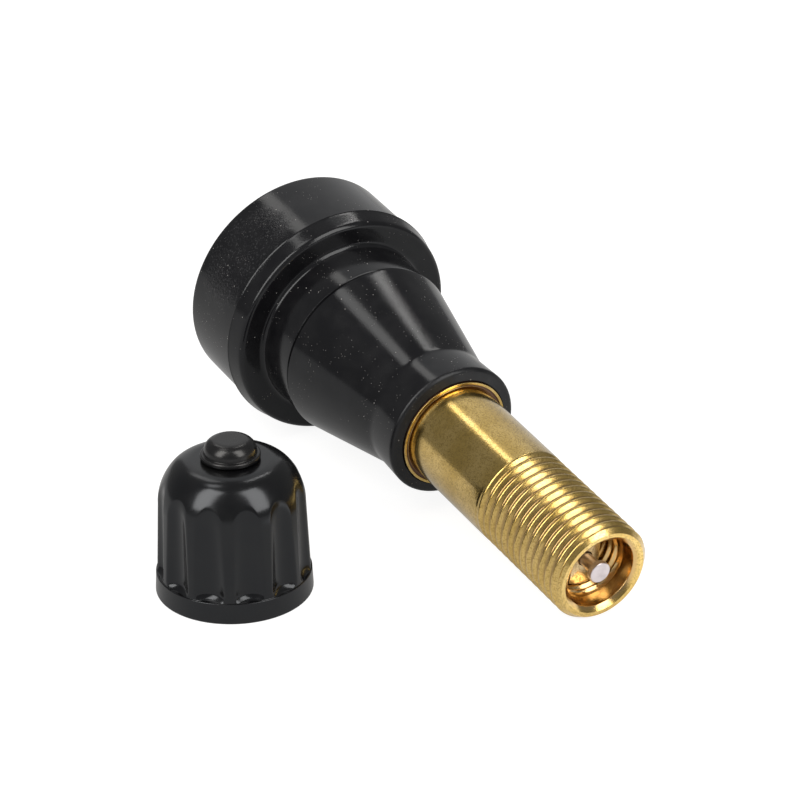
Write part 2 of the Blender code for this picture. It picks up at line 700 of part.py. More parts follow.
def bounds():
    """Lowest and highest corner of all pieces, as their modifiers leave them."""
    bpy.context.view_layer.update()
    graph = bpy.context.evaluated_depsgraph_get()
    corners = []
    for obj in parts.objects:
        if obj.type == "EMPTY":
            continue
        shaped = obj.evaluated_get(graph)
        mesh = shaped.to_mesh()
        corners += [shaped.matrix_world @ vertex.co for vertex in mesh.vertices]
        shaped.to_mesh_clear()
    low = Vector([min(corner[i] for corner in corners) for i in range(3)])
    high = Vector([max(corner[i] for corner in corners) for i in range(3)])
    return low, high


clear_scene()
parts = collection("tyre_valve")
cutters = collection("cutters")

rubber = material("rubber", (0.022, 0.023, 0.026), 0.45)
brass = material("brass", (0.72, 0.50, 0.17), 0.2, 1.0)
core_brass = material("core_brass", (0.62, 0.42, 0.15), 0.3, 1.0)
pin_metal = material("pin_metal", (0.68, 0.64, 0.66), 0.3, 1.0)
spring_steel = material("spring_steel", (0.55, 0.55, 0.56), 0.3, 1.0)
seal_plastic = material("seal_plastic", (0.75, 0.73, 0.68), 0.5)
cap_plastic = material("cap_plastic", (0.018, 0.018, 0.020), 0.2)
cap_rubber = material("cap_rubber", (0.022, 0.022, 0.024), 0.35)

set_origin = empty("set_origin")
valve_axis = empty(
    "valve_axis",
    parent=set_origin,
    location=(0, 0, BASE_CENTRE_HEIGHT),
    rotation=(0, pi / 2 + REST_TILT, 0),
)
pin_slide = empty("pin_slide", parent=valve_axis, location=(0, 0, LENGTH - PIN_HEAD_DEPTH))
cap_axis = empty(
    "cap_axis",
    parent=set_origin,
    location=(CAP_ALONG, -CAP_ASIDE, 0),
    rotation=(0, 0, CAP_TURN),
)

make_rubber_body()
make_valve_stem()
make_core_plug()
make_core_barrel()
make_barrel_seal()
make_core_pin()
make_poppet()
make_pin_spring()
make_cap_shell()
make_cap_seal()

# The origin is below the middle of the whole set, on the ground.
low, high = bounds()
set_origin.location = (-(low.x + high.x) / 2, -(low.y + high.y) / 2, -low.z)
bpy.context.view_layer.update()
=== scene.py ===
import json
from math import ceil, cos, exp, hypot, pi, radians, sin, sqrt, tan

import bmesh
import bpy
from mathutils import Matrix, Vector, noise


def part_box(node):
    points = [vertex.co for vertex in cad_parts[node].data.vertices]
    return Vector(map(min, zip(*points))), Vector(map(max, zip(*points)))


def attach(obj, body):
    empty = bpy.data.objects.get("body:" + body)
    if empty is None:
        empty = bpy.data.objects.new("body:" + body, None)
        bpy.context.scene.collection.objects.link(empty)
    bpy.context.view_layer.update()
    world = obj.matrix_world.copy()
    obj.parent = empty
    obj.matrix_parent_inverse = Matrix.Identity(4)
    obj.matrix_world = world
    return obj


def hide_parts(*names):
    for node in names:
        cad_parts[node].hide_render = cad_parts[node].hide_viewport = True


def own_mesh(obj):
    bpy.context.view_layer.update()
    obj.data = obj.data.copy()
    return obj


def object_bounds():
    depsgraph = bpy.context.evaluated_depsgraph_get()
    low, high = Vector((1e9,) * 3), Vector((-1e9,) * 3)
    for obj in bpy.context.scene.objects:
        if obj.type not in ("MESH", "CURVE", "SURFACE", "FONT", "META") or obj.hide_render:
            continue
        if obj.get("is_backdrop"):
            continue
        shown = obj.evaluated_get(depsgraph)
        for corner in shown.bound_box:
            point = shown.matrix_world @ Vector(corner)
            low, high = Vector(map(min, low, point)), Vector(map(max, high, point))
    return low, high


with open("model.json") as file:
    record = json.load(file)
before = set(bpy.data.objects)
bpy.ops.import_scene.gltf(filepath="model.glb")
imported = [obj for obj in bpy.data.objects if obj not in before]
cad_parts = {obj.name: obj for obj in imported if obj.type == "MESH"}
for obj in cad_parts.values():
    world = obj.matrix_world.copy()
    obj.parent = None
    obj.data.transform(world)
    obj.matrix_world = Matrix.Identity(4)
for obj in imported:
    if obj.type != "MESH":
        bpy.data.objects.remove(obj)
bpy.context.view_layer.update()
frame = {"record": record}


# The photographer's camera. It stands in front of the mouth and to its left, a quarter of a metre away,
# and looks down on the valve and its cap through a long lens.
MM = 0.001
camera_place = Vector((193.612, -111.891, 119.484)) * MM
camera_turn = radians(58.930)
camera_dip = radians(26.027)
camera_roll = radians(-0.596)
lens_length = 153.0


def toward(azimuth, elevation):
    """The direction from the set to something at a compass angle and a height angle.
    The compass angle is counted from -Y by way of +X."""
    return Vector((sin(azimuth) * cos(elevation), -cos(azimuth) * cos(elevation), sin(elevation)))


def facing(direction):
    """A turn that points an object's -Z along a direction, with its +Y as near upright as it can be."""
    return direction.to_track_quat("-Z", "Y").to_matrix().to_4x4()


camera = bpy.data.objects.new("camera", bpy.data.cameras.new("camera"))
camera.data.lens = lens_length
camera.data.clip_start = 10 * MM
look = facing(-toward(camera_turn, camera_dip))
camera.matrix_world = Matrix.Translation(camera_place) @ look @ Matrix.Rotation(camera_roll, 4, "Z")
bpy.context.scene.collection.objects.link(camera)
bpy.context.scene.camera = camera
bpy.context.scene.view_settings.view_transform = "Standard"


# The white table top. It is plain matt board, and the camera sees it as paper white with the set's own faint
# shadow on it. Polished faces mirror it as grey, but for the lit patch of it beyond the valve's mouth.
table_reach = 3.0
table_grey = 0.30
table_glow_to_camera = 0.87
table_glow_in_gloss = 0.27
lit_patch_glow = 0.70
lit_patch_middle = (38 * MM, 23 * MM, 0)
lit_patch_core = 12 * MM
lit_patch_reach = 30 * MM


def node(tree, kind, inputs=None, **settings):
    """A shader node with its settings. An input given as a socket is linked, and any other value is set."""
    made = tree.nodes.new("ShaderNode" + kind)
    for name, value in settings.items():
        setattr(made, name, value)
    for key, value in (inputs or {}).items():
        if isinstance(value, bpy.types.NodeSocket):
            tree.links.new(value, made.inputs[key])
        else:
            made.inputs[key].default_value = value
    return made


def math(tree, operation, *values):
    """The result of a sum on sockets and plain numbers."""
    return node(tree, "Math", dict(enumerate(values)), operation=operation).outputs[0]


def empty_material(name):
    """A material with nothing in it but its output."""
    made = bpy.data.materials.new(name)
    made.use_nodes = True
    made.node_tree.nodes.clear()
    return made, made.node_tree, made.node_tree.nodes.new("ShaderNodeOutputMaterial")


board, tree, output = empty_material("white_board")
rays = node(tree, "LightPath").outputs
seen = math(tree, "MULTIPLY", rays["Is Camera Ray"], table_glow_to_camera)
place = node(tree, "NewGeometry").outputs["Position"]
away = node(tree, "VectorMath", {0: place, 1: lit_patch_middle}, operation="DISTANCE").outputs["Value"]
fade = {
    "Value": away,
    "From Min": lit_patch_core,
    "From Max": lit_patch_reach,
    "To Min": lit_patch_glow,
    "To Max": 0.0,
}
lit = node(tree, "MapRange", fade, interpolation_type="SMOOTHSTEP").outputs["Result"]
reflected = math(tree, "ADD", lit, table_glow_in_gloss)
mirrored = math(tree, "MULTIPLY", rays["Is Glossy Ray"], reflected)
glow = node(tree, "Emission", {"Strength": math(tree, "ADD", seen, mirrored)})
matt = node(tree, "BsdfDiffuse", {"Color": (table_grey, table_grey, table_grey, 1)})
both = node(tree, "AddShader", {0: matt.outputs[0], 1: glow.outputs[0]})
tree.links.new(both.outputs[0], output.inputs["Surface"])

form = bmesh.new()
bmesh.ops.create_grid(form, x_segments=8, y_segments=8, size=table_reach)
table_mesh = bpy.data.meshes.new("table")
form.to_mesh(table_mesh)
form.free()
table_mesh.materials.append(board)
table = bpy.data.objects.new("table", table_mesh)
bpy.context.scene.collection.objects.link(table)
table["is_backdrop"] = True


# The room. It is a dark studio with even fill light, and the camera sees only white paper behind the table.
room_grey = 0.32
room_grey_in_gloss = 0.21

world = bpy.data.worlds.new("room")
world.use_nodes = True
bpy.context.scene.world = world
tree = world.node_tree
tree.nodes.clear()
rays = node(tree, "LightPath").outputs
seen = math(tree, "MULTIPLY", rays["Is Camera Ray"], 1 - room_grey)
mirrored = math(tree, "MULTIPLY", rays["Is Glossy Ray"], room_grey_in_gloss - room_grey)
strength = math(tree, "ADD", math(tree, "ADD", seen, mirrored), room_grey)
sky = node(tree, "Background", {"Color": (1, 1, 1, 1), "Strength": strength})
output = tree.nodes.new("ShaderNodeOutputWorld")
tree.links.new(sky.outputs[0], output.inputs["Surface"])


# The studio lamps. Two tall soft boxes stand either side of the camera, two smaller ones hang behind the set
# and one hangs over the cone. They draw the streaks on the rubber and the petals on the cap's dome.
lamp_reach = 0.60
lamp_colour = (1.0, 0.97, 0.93)
# Each lamp's compass angle, height angle, width and height as seen from the set, in degrees, and its glow.
energy_per_radiance = 4.0
lamps = {
    "left_box": (10, 40, 26, 54, 3.9),
    "right_box": (109, 39, 27, 54, 3.5),
    "left_back_box": (-92, 54, 9, 24, 1.7),
    "right_back_box": (-146, 57, 2.4, 24, 5.8),
    "overhead_box": (-44, 72, 10, 12, 2.6),
}
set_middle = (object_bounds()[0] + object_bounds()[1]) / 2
for name, (*angles, radiance) in lamps.items():
    azimuth, elevation, width, height = (radians(angle) for angle in angles)
    lamp = bpy.data.lights.new(name, "AREA")
    lamp.shape = "RECTANGLE"
    lamp.color = lamp_colour
    lamp.size = 2 * lamp_reach * tan(width / 2)
    lamp.size_y = 2 * lamp_reach * tan(height / 2)
    lamp.energy = energy_per_radiance * radiance * lamp.size * lamp.size_y
    holder = bpy.data.objects.new(name, lamp)
    direction = toward(azimuth, elevation)
    holder.matrix_world = Matrix.Translation(set_middle + direction * lamp_reach) @ facing(-direction)
    holder.visible_camera = False
    bpy.context.scene.collection.objects.link(holder)


# The paper sweep. The white paper rises behind the set, out of the camera's view, and the rubber, the brass
# and the cap mirror it as a pale strip.
sweep_reach = 0.50
sweep_azimuths = (radians(-141), radians(-98))
sweep_elevations = (radians(-3), radians(64))
sweep_glow = 0.62
sweep_steps = 12

paper, tree, output = empty_material("white_paper")
glow = node(tree, "Emission", {"Strength": sweep_glow})
tree.links.new(glow.outputs[0], output.inputs["Surface"])
form = bmesh.new()
columns = []
for i in range(sweep_steps + 1):
    azimuth = sweep_azimuths[0] + (sweep_azimuths[1] - sweep_azimuths[0]) * i / sweep_steps
    foot, top = (toward(azimuth, elevation) * sweep_reach for elevation in sweep_elevations)
    columns.append((form.verts.new(foot), form.verts.new(top)))
for (foot, top), (next_foot, next_top) in zip(columns, columns[1:]):
    form.faces.new((foot, next_foot, next_top, top))
sweep_mesh = bpy.data.meshes.new("sweep")
form.to_mesh(sweep_mesh)
form.free()
sweep_mesh.materials.append(paper)
sweep = bpy.data.objects.new("sweep", sweep_mesh)
sweep.visible_camera = False
sweep.visible_shadow = False
sweep.visible_diffuse = False
bpy.context.scene.collection.objects.link(sweep)
sweep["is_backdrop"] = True


# The rubber body. One compression moulding of hard black rubber, bonded to the brass root: a flange with its
# mould parting step, the neck that the rim grips, a long cone to pull through the hole, and a collar.
valve_length = 44.0 * MM
exposed_length = 19.7 * MM
flange_radius = 9.36 * MM
flange_rear_radius = 9.13 * MM
flange_front_radius = 9.02 * MM
flange_length = 7.9 * MM
parting_height = 6.3 * MM
neck_radius = 7.05 * MM
neck_length = 3.6 * MM
nick_depth = 0.30 * MM
nick_flank = 0.17 * MM
cone_radius = 7.16 * MM
waist_radius = 5.16 * MM
collar_length = 3.4 * MM
lip_radius = 5.32 * MM
ring_face = valve_length - exposed_length
lip_height = ring_face - 0.15 * MM
bond_gap = 0.1 * MM
root_radius = 3.45 * MM
rib_radius = 4.05 * MM
rib_bands = ((13.3 * MM, 14.8 * MM), (17.8 * MM, 19.3 * MM))
foot_radius = 4.6 * MM
foot_band = (4.4 * MM, 5.8 * MM)
shoulder_radius = 4.34 * MM
shoulder_back = ring_face - 0.5 * MM
base_hole_radius = 2.4 * MM

mouth = next(mount for mount in frame["record"]["mounts"] if mount["name"] == "mouth_face")
valve_axis = Vector(mouth["axis"]).normalized()
stem_low, stem_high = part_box("valve_stem")
mouth_centre = Vector((mouth["pos_m"][0], (stem_low.y + stem_high.y) / 2, mouth["pos_m"][2]))
valve_side = Vector((0, -1, 0))
valve_up = valve_side.cross(valve_axis)
valve_frame = Matrix((valve_up, valve_side, valve_axis)).transposed().to_4x4()
valve_frame.translation = mouth_centre - valve_axis * valve_length


def rounded(corners, fineness=radians(9)):
    """An outline through (radius, height) corners. A third number rounds that corner with a tangent arc."""
    points = []
    for i, corner in enumerate(corners):
        here = Vector(corner[:2])
        if len(corner) == 2:
            points.append(here)
            continue
        back = Vector(corners[i - 1][:2]) - here
        onward = Vector(corners[(i + 1) % len(corners)][:2]) - here
        half = back.angle(onward) / 2
        reach = min(corner[2] / tan(half), back.length / 2, onward.length / 2)
        start = here + back.normalized() * reach
        finish = here + onward.normalized() * reach
        to_centre = (back.normalized() + onward.normalized()).normalized()
        centre = here + to_centre * hypot(reach, reach * tan(half))
        spoke = start - centre
        turn = spoke.angle_signed(finish - centre)
        steps = max(2, ceil(abs(turn) / fineness))
        points += [centre + Matrix.Rotation(-turn * step / steps, 2) @ spoke for step in range(steps + 1)]
    return points


def evenly(outline, longest):
    """The same outline with its long runs split, so that the light runs smoothly over them."""
    points = []
    for start, finish in zip(outline, outline[1:]):
        parts = max(1, ceil((finish - start).length / longest))
        points += [start.lerp(finish, part / parts) for part in range(parts)]
    return points + [outline[-1]]


def skin(form, rows, columns, place, climb=0):
    """Rows of points round the axis, joined by faces. place(row, column) gives a radius and a height.
    A thread's rows climb as they go round, so they meet the first column that many rows further on."""
    grid = []
    for row in range(rows):
        ring = []
        for column in range(columns):
            radius, height = place(row, column)
            angle = 2 * pi * column / columns
            ring.append(form.verts.new((radius * cos(angle), radius * sin(angle), height)))
        grid.append(ring)
    last = rows - 1
    for row in range(last):
        for column in range(columns):
            wrap = climb if column == columns - 1 else 0
            onward = (column + 1) % columns
            corners = [
                grid[row][column],
                grid[min(row + wrap, last)][onward],
                grid[min(row + 1 + wrap, last)][onward],
                grid[row + 1][column],
            ]
            corners = list(dict.fromkeys(corners))
            if len(corners) > 2:
                form.faces.new(corners)


def turned(form, outline, columns, closed=False):
    """A plain turned surface from an outline of radii and heights."""
    points = outline + outline[:1] if closed else outline
    skin(form, len(points), columns, lambda row, column: points[row])


def piece(name, form, finish, place, sharp=radians(40), weld=0.0005 * MM):
    """Welds a form's seams, turns its faces outward and puts it in its place as a piece of the set."""
    bmesh.ops.remove_doubles(form, verts=form.verts, dist=weld)
    bmesh.ops.dissolve_degenerate(form, edges=form.edges, dist=weld)
    bmesh.ops.recalc_face_normals(form, faces=form.faces)
    form.transform(place)
    mesh = bpy.data.meshes.new(name)
    form.to_mesh(mesh)
    form.free()
    mesh.shade_smooth()
    mesh.set_sharp_from_angle(angle=sharp)
    mesh.materials.append(finish)
    made = bpy.data.objects.new(name, mesh)
    bpy.context.scene.collection.objects.link(made)
    return made


def new_group(name, inputs, outputs):
    """An empty shader node group with float or vector sockets, its input sockets and its output node."""
    tree = bpy.data.node_groups.new(name, "ShaderNodeTree")
    for label, start in inputs.items():
        kind = "NodeSocketVector" if start is None else "NodeSocketFloat"
        socket = tree.interface.new_socket(label, in_out="INPUT", socket_type=kind)
        if start is not None:
            socket.default_value = start
    for label in outputs:
        tree.interface.new_socket(label, in_out="OUTPUT", socket_type="NodeSocketFloat")
    return tree, tree.nodes.new("NodeGroupInput").outputs, tree.nodes.new("NodeGroupOutput").inputs


def use_group(tree, group, inputs):
    """A shader node group placed in a tree with its own values. It gives the group's outputs."""
    return node(tree, "Group", inputs, node_tree=group).outputs


def band(tree, value, low, high):
    """0 below low, 1 above high, and a smooth rise between."""
    inputs = {"Value": value, "From Min": low, "From Max": high}
    return node(tree, "MapRange", inputs, interpolation_type="SMOOTHSTEP").outputs[0]


def opposite(tree, mask):
    """1 where a mask is 0, and 0 where it is 1."""
    return math(tree, "SUBTRACT", 1.0, mask)


def clouds(tree, position, size, detail, distortion=0.0):
    """A cloudy value with marks of about a given size."""
    scale = math(tree, "DIVIDE", 1.0, size)
    inputs = {"Vector": position, "Scale": scale, "Detail": detail, "Distortion": distortion}
    return node(tree, "TexNoise", inputs).outputs[0]


dust_group, inputs, outputs = new_group(
    "dust",
    {"Position": None, "Spacing": 0.4 * MM, "Speck": 0.05 * MM, "Share": 0.3, "Patchiness": 300.0},
    ["Mask"],
)
tree = dust_group
cell_scale = math(tree, "DIVIDE", 1.0, inputs["Spacing"])
cells = node(tree, "TexVoronoi", {"Vector": inputs["Position"], "Scale": cell_scale})
reach = math(tree, "MULTIPLY", cells.outputs["Distance"], inputs["Spacing"])
speck = opposite(tree, math(tree, "DIVIDE", reach, inputs["Speck"]))
pick = node(tree, "SeparateColor", {"Color": cells.outputs["Color"]}).outputs[0]
drift = node(tree, "TexNoise", {"Vector": inputs["Position"], "Scale": inputs["Patchiness"], "Detail": 1.0})
chance = math(tree, "MULTIPLY", inputs["Share"], band(tree, drift.outputs[0], 0.45, 0.65))
kept = math(tree, "LESS_THAN", pick, chance)
shape = band(tree, speck, 0.0, 0.5)
tree.links.new(math(tree, "MULTIPLY", shape, kept), outputs["Mask"])

moulded_group, inputs, outputs = new_group(
    "moulded_skin",
    {"Position": None, "Grain": 0.12 * MM, "Bloom": 1.2 * MM},
    ["Height", "Bloom"],
)
tree = moulded_group
tree.links.new(clouds(tree, inputs["Position"], inputs["Grain"], 3.0), outputs["Height"])
tree.links.new(clouds(tree, inputs["Position"], inputs["Bloom"], 2.0), outputs["Bloom"])

valve_group, inputs, outputs = new_group("valve_place", {"Position": None}, ["Along", "Radius", "Around"])
tree = valve_group
ends = {0: inputs["Position"], 1: valve_frame.translation}
from_base = node(tree, "VectorMath", ends, operation="SUBTRACT").outputs[0]
along, rise, aside = (
    node(tree, "VectorMath", {0: from_base, 1: direction}, operation="DOT_PRODUCT").outputs["Value"]
    for direction in (valve_axis, valve_up, valve_side)
)
squares = (math(tree, "POWER", distance, 2.0) for distance in (rise, aside))
tree.links.new(along, outputs["Along"])
tree.links.new(math(tree, "SQRT", math(tree, "ADD", *squares)), outputs["Radius"])
tree.links.new(math(tree, "ARCTAN2", aside, rise), outputs["Around"])


torn_group, inputs, outputs = new_group(
    "torn_skin",
    {
        "Position": None,
        "Pebble": 0.16 * MM,
        "Angle": 0.86,
        "Spread": 0.50,
        "Height": 3.4 * MM,
        "Length": 3.3 * MM,
    },
    ["Mask", "Pebbles", "Lip"],
)
tree = torn_group
place = use_group(tree, valve_group, {"Position": inputs["Position"]})
aside = math(tree, "DIVIDE", math(tree, "SUBTRACT", place["Around"], inputs["Angle"]), inputs["Spread"])
along = math(tree, "DIVIDE", math(tree, "SUBTRACT", place["Along"], inputs["Height"]), inputs["Length"])
away = math(tree, "ADD", math(tree, "POWER", aside, 2.0), math(tree, "POWER", along, 2.0))
ragged = node(tree, "TexNoise", {"Vector": inputs["Position"], "Scale": 700.0, "Detail": 2.0})
away = math(tree, "ADD", away, math(tree, "MULTIPLY", ragged.outputs[0], 0.9))
on_side = band(tree, place["Radius"], 8.8 * MM, 9.0 * MM)
inside_it = opposite(tree, band(tree, away, 0.85, 1.75))
tree.links.new(math(tree, "MULTIPLY", inside_it, on_side), outputs["Mask"])
tree.links.new(clouds(tree, inputs["Position"], inputs["Pebble"], 4.0, 0.8), outputs["Pebbles"])
near_lip = band(tree, place["Along"], lip_height - 0.60 * MM, lip_height - 0.25 * MM)
tree.links.new(math(tree, "MULTIPLY", near_lip, ragged.outputs[0]), outputs["Lip"])


def finish_material(name, base, roughness, metallic=0.0):
    """A material with a Principled shader. It gives the material, its tree, its shader and object space."""
    made, tree, output = empty_material(name)
    look = {"Base Color": (*base, 1), "Roughness": roughness, "Metallic": metallic}
    shader = node(tree, "BsdfPrincipled", look)
    tree.links.new(shader.outputs[0], output.inputs["Surface"])
    return made, tree, shader, node(tree, "TexCoord").outputs["Object"]


def mix_colour(tree, share, first, second):
    """A share of the second colour over the first. Each is three numbers or a socket."""
    first, second = (
        colour if isinstance(colour, bpy.types.NodeSocket) else (*colour, 1) for colour in (first, second)
    )
    return node(tree, "Mix", {0: share, 6: first, 7: second}, data_type="RGBA").outputs[2]


def bump(tree, shader, height, strength, distance, under=None):
    """Raises a shader's surface by a height, over another bump where one is given."""
    inputs = {"Height": height, "Strength": strength, "Distance": distance}
    if under:
        inputs["Normal"] = under
    made = node(tree, "Bump", inputs).outputs[0]
    tree.links.new(made, shader.inputs["Normal"])
    return made


def rubber_material(name, dust_share):
    """Black moulded rubber: satin, a little cloudy, with fine grain and pale specks of dust."""
    made, tree, shader, position = finish_material(name, (0.008, 0.008, 0.009), 0.24)
    shader.inputs["Specular IOR Level"].default_value = 0.36
    # The cool specular tint is painted reflection colour: it stands in for the bluish room that the rubber
    # mirrors.
    shader.inputs["Specular Tint"].default_value = (0.94, 0.97, 1.0, 1)
    moulded = use_group(tree, moulded_group, {"Position": position, "Grain": 0.10 * MM, "Bloom": 1.6 * MM})
    dust = {"Position": position, "Share": dust_share}
    coarse = {"Spacing": 0.42 * MM, "Speck": 0.055 * MM, "Patchiness": 260.0}
    small = {"Spacing": 0.19 * MM, "Speck": 0.034 * MM, "Patchiness": 420.0}
    coarse_specks = use_group(tree, dust_group, {**dust, **coarse})["Mask"]
    small_specks = use_group(tree, dust_group, {**dust, **small})["Mask"]
    specks = math(tree, "MAXIMUM", coarse_specks, math(tree, "MULTIPLY", small_specks, 0.6))
    torn = use_group(tree, torn_group, {"Position": position})
    # The torn patch's paler flecks are partly its torn grain and partly painted glints, in place of the
    # sparkle of its pebbles.
    grain_and_glint_flecks = math(tree, "MULTIPLY", band(tree, torn["Pebbles"], 0.53, 0.72), torn["Mask"])
    cloud = band(tree, moulded["Bloom"], 0.35, 0.7)
    cloudy = mix_colour(tree, cloud, (0.0065, 0.0065, 0.0075), (0.010, 0.010, 0.011))
    grain_and_glint_flecked = mix_colour(tree, grain_and_glint_flecks, cloudy, (0.040, 0.040, 0.043))
    colour = mix_colour(tree, specks, grain_and_glint_flecked, (0.30, 0.29, 0.28))
    tree.links.new(colour, shader.inputs["Base Color"])
    shine = math(tree, "MULTIPLY_ADD", moulded["Bloom"], 0.08, 0.09)
    shine = math(tree, "MULTIPLY_ADD", torn["Lip"], 0.45, shine)
    tree.links.new(math(tree, "MULTIPLY_ADD", specks, 0.4, shine), shader.inputs["Roughness"])
    pebbled = math(tree, "MULTIPLY", math(tree, "MULTIPLY", torn["Pebbles"], torn["Mask"]), 14.0)
    raised = math(tree, "ADD", math(tree, "ADD", moulded["Height"], specks), pebbled)
    bump(tree, shader, raised, 0.25, 0.012 * MM)
    return made


rubber = rubber_material("black_rubber", 0.5)

body_columns = 368
rough_patch_angle = radians(49)
rough_patch_spread = radians(20)
rough_patch_height = 3.9 * MM
rough_patch_length = 2.9 * MM
rough_patch_rise = 0.022 * MM
rough_patch_grain = 0.26 * MM


def rough_patch(angle, height, radius):
    """The torn, pebbled patch that the mould left on the upper left of the flange's side."""
    if radius < flange_front_radius - 0.05 * MM:
        return 0.0
    spot = Vector((radius * cos(angle), radius * sin(angle), height))
    drift = noise.noise(spot / (2.2 * MM)) * 0.6
    aside = (angle - rough_patch_angle) / rough_patch_spread
    along = (height - rough_patch_height) / rough_patch_length
    fade = exp(-((aside * aside + along * along) ** 2) * (1 + drift))
    grain = noise.noise(spot / rough_patch_grain) + 0.6 * noise.noise(spot * 2.1 / rough_patch_grain)
    return rough_patch_rise * fade * grain


neck_top = flange_length + neck_length
outside = rounded(
    [
        (shoulder_radius + bond_gap, lip_height),
        (lip_radius, lip_height - 0.2 * MM, 0.35 * MM),
        (waist_radius, lip_height - collar_length, 1.5 * MM),
        (cone_radius, neck_top + 2 * nick_flank, 0.04 * MM),
        (neck_radius - nick_depth, neck_top + nick_flank),
        (neck_radius, neck_top, 0.03 * MM),
        (neck_radius, flange_length, 0.42 * MM),
        (flange_front_radius, flange_length, 0.42 * MM),
        (flange_radius - 0.04 * MM, parting_height + 0.15 * MM, 0.05 * MM),
        (flange_radius, parting_height + 0.07 * MM, 0.02 * MM),
        (flange_radius, parting_height, 0.03 * MM),
        (flange_rear_radius, parting_height, 0.04 * MM),
        (flange_rear_radius, 0, 0.38 * MM),
        (base_hole_radius, 0, 0.3 * MM),
        (base_hole_radius, foot_band[0] - bond_gap),
    ]
)
inside = [
    (foot_radius + bond_gap, foot_band[0] - bond_gap),
    (foot_radius + bond_gap, foot_band[1] + bond_gap),
    (root_radius + bond_gap, foot_band[1] + bond_gap),
]
for low, high in rib_bands:
    inside += [
        (root_radius + bond_gap, low - bond_gap),
        (rib_radius + bond_gap, low - bond_gap),
        (rib_radius + bond_gap, high + bond_gap),
        (root_radius + bond_gap, high + bond_gap),
    ]
inside += [
    (root_radius + bond_gap, shoulder_back - bond_gap),
    (shoulder_radius + bond_gap, shoulder_back - bond_gap),
    (shoulder_radius + bond_gap, lip_height),
]
body_outline = evenly(outside, 0.24 * MM) + [Vector(point) for point in inside]


def body_point(row, column):
    radius, height = body_outline[row]
    return radius + rough_patch(2 * pi * column / body_columns, height, radius), height


form = bmesh.new()
skin(form, len(body_outline), body_columns, body_point)
rubber_body = piece("moulded_rubber_body", form, rubber, valve_frame)
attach(rubber_body, "valve_and_cap")
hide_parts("rubber_body")


# The valve stem. It is turned from a brass bar and lacquered bright: an end threaded for the cap outside and
# for the core inside, a smooth shank, a shoulder ring with a shallow recess in its face, and a ribbed root
# that is bonded into the rubber.
thread_radius = 3.85 * MM
thread_depth = 0.31 * MM
run_out_pitches = 1.3
thread_pitch = 25.4 * MM / 32
thread_length = 10.75 * MM
thread_start = 0.25 * MM
thread_floor = valve_length - thread_length
mouth_chamfer = 0.4 * MM
shank_radius = 3.87 * MM
recess_depth = 0.14 * MM
shank_flare = 0.07 * MM
ring_rim = 0.19 * MM
mouth_face_inner = 3.14 * MM
mouth_bore_radius = 2.76 * MM
core_thread_radius = 2.60 * MM
core_thread_depth = 0.26 * MM
core_thread_pitch = 25.4 * MM / 36
core_thread_top = 1.8 * MM
core_lead_in = 1.95 * MM
core_lead_slope = 1.8
seat_depth = 9.4 * MM
seat_end = 11.8 * MM
core_thread_end = seat_depth - 1.4 * MM
core_thread_foot = seat_depth - 1.0 * MM
seat_top_radius = 2.42 * MM
chamber_radius = 2.0 * MM
chamber_end = 21.7 * MM
air_bore_radius = 1.25 * MM
stem_columns = 192
thread_steps = 14


def ridge(share, root_flat, crest_flat=None):
    """A thread's form over one pitch, from 0 in the root to 1 on the crest, with softened corners."""
    off_crest = abs((share + 0.5) % 1 - 0.5) * 2
    crest_flat = root_flat if crest_flat is None else crest_flat
    slope = min(max((1 - off_crest - root_flat) / (1 - root_flat - crest_flat), 0), 1)
    return slope * slope * (3 - 2 * slope) * 0.5 + slope * 0.5


def thread(form, low, high, pitch, columns, radius_at, steps=thread_steps):
    """A thread's skin between two heights, in so many steps a turn.
    radius_at(height, share) is its radius at a share of the pitch."""
    rows = ceil((high - low) / pitch * steps) + steps + 1

    def place(row, column):
        height = low + pitch * ((row - steps) / steps + column / columns)
        height = min(max(height, low), high)
        share = (height - low) / pitch - column / columns
        return radius_at(height, share), height

    skin(form, rows, columns, place, climb=steps)


def stem_thread_radius(height, share):
    """The outside thread, chamfered at the mouth and running out into the shank."""
    face_radius = thread_radius - mouth_chamfer
    if height >= valve_length:
        return face_radius
    chamfered = face_radius + valve_length - height
    full = thread_radius - thread_depth * (1 - ridge(share - thread_start / thread_pitch, 0.08, 0.15))
    cut = min((height - thread_floor) / (run_out_pitches * thread_pitch), 1)
    cut = cut * cut * (3 - 2 * cut)
    return min(shank_radius + (full - shank_radius) * cut, chamfered)


def core_thread_wall(height, share):
    """The inside thread for the core, with a full crest and a lead at each end."""
    depth = valve_length - height
    crest = core_thread_radius - core_thread_depth
    full = core_thread_radius - core_thread_depth * ridge(share, 0.10)
    lead = crest + max(core_lead_in - depth, depth - core_thread_end) * core_lead_slope
    return min(max(full, lead), core_thread_radius)


brass_group, inputs, outputs = new_group(
    "turned_brass",
    {"Position": None, "Ring": 0.05 * MM, "Mottle": 0.35 * MM},
    ["Height", "Mottle", "Film"],
)
tree = brass_group
place = use_group(tree, valve_group, {"Position": inputs["Position"]})
rings_along = math(tree, "DIVIDE", place["Along"], inputs["Ring"])
rings_out = math(tree, "DIVIDE", place["Radius"], inputs["Ring"])
drawn_round = math(tree, "MULTIPLY", place["Around"], 0.8)
ring_place = node(tree, "CombineXYZ", {0: rings_along, 1: rings_out, 2: drawn_round})
rings = node(tree, "TexNoise", {"Vector": ring_place.outputs[0], "Scale": 1.0, "Detail": 2.0})
film = node(tree, "TexNoise", {"Vector": inputs["Position"], "Scale": 420.0, "Detail": 2.0})
tree.links.new(rings.outputs[0], outputs["Height"])
tree.links.new(clouds(tree, inputs["Position"], inputs["Mottle"], 4.0, 1.6), outputs["Mottle"])
tree.links.new(film.outputs[0], outputs["Film"])


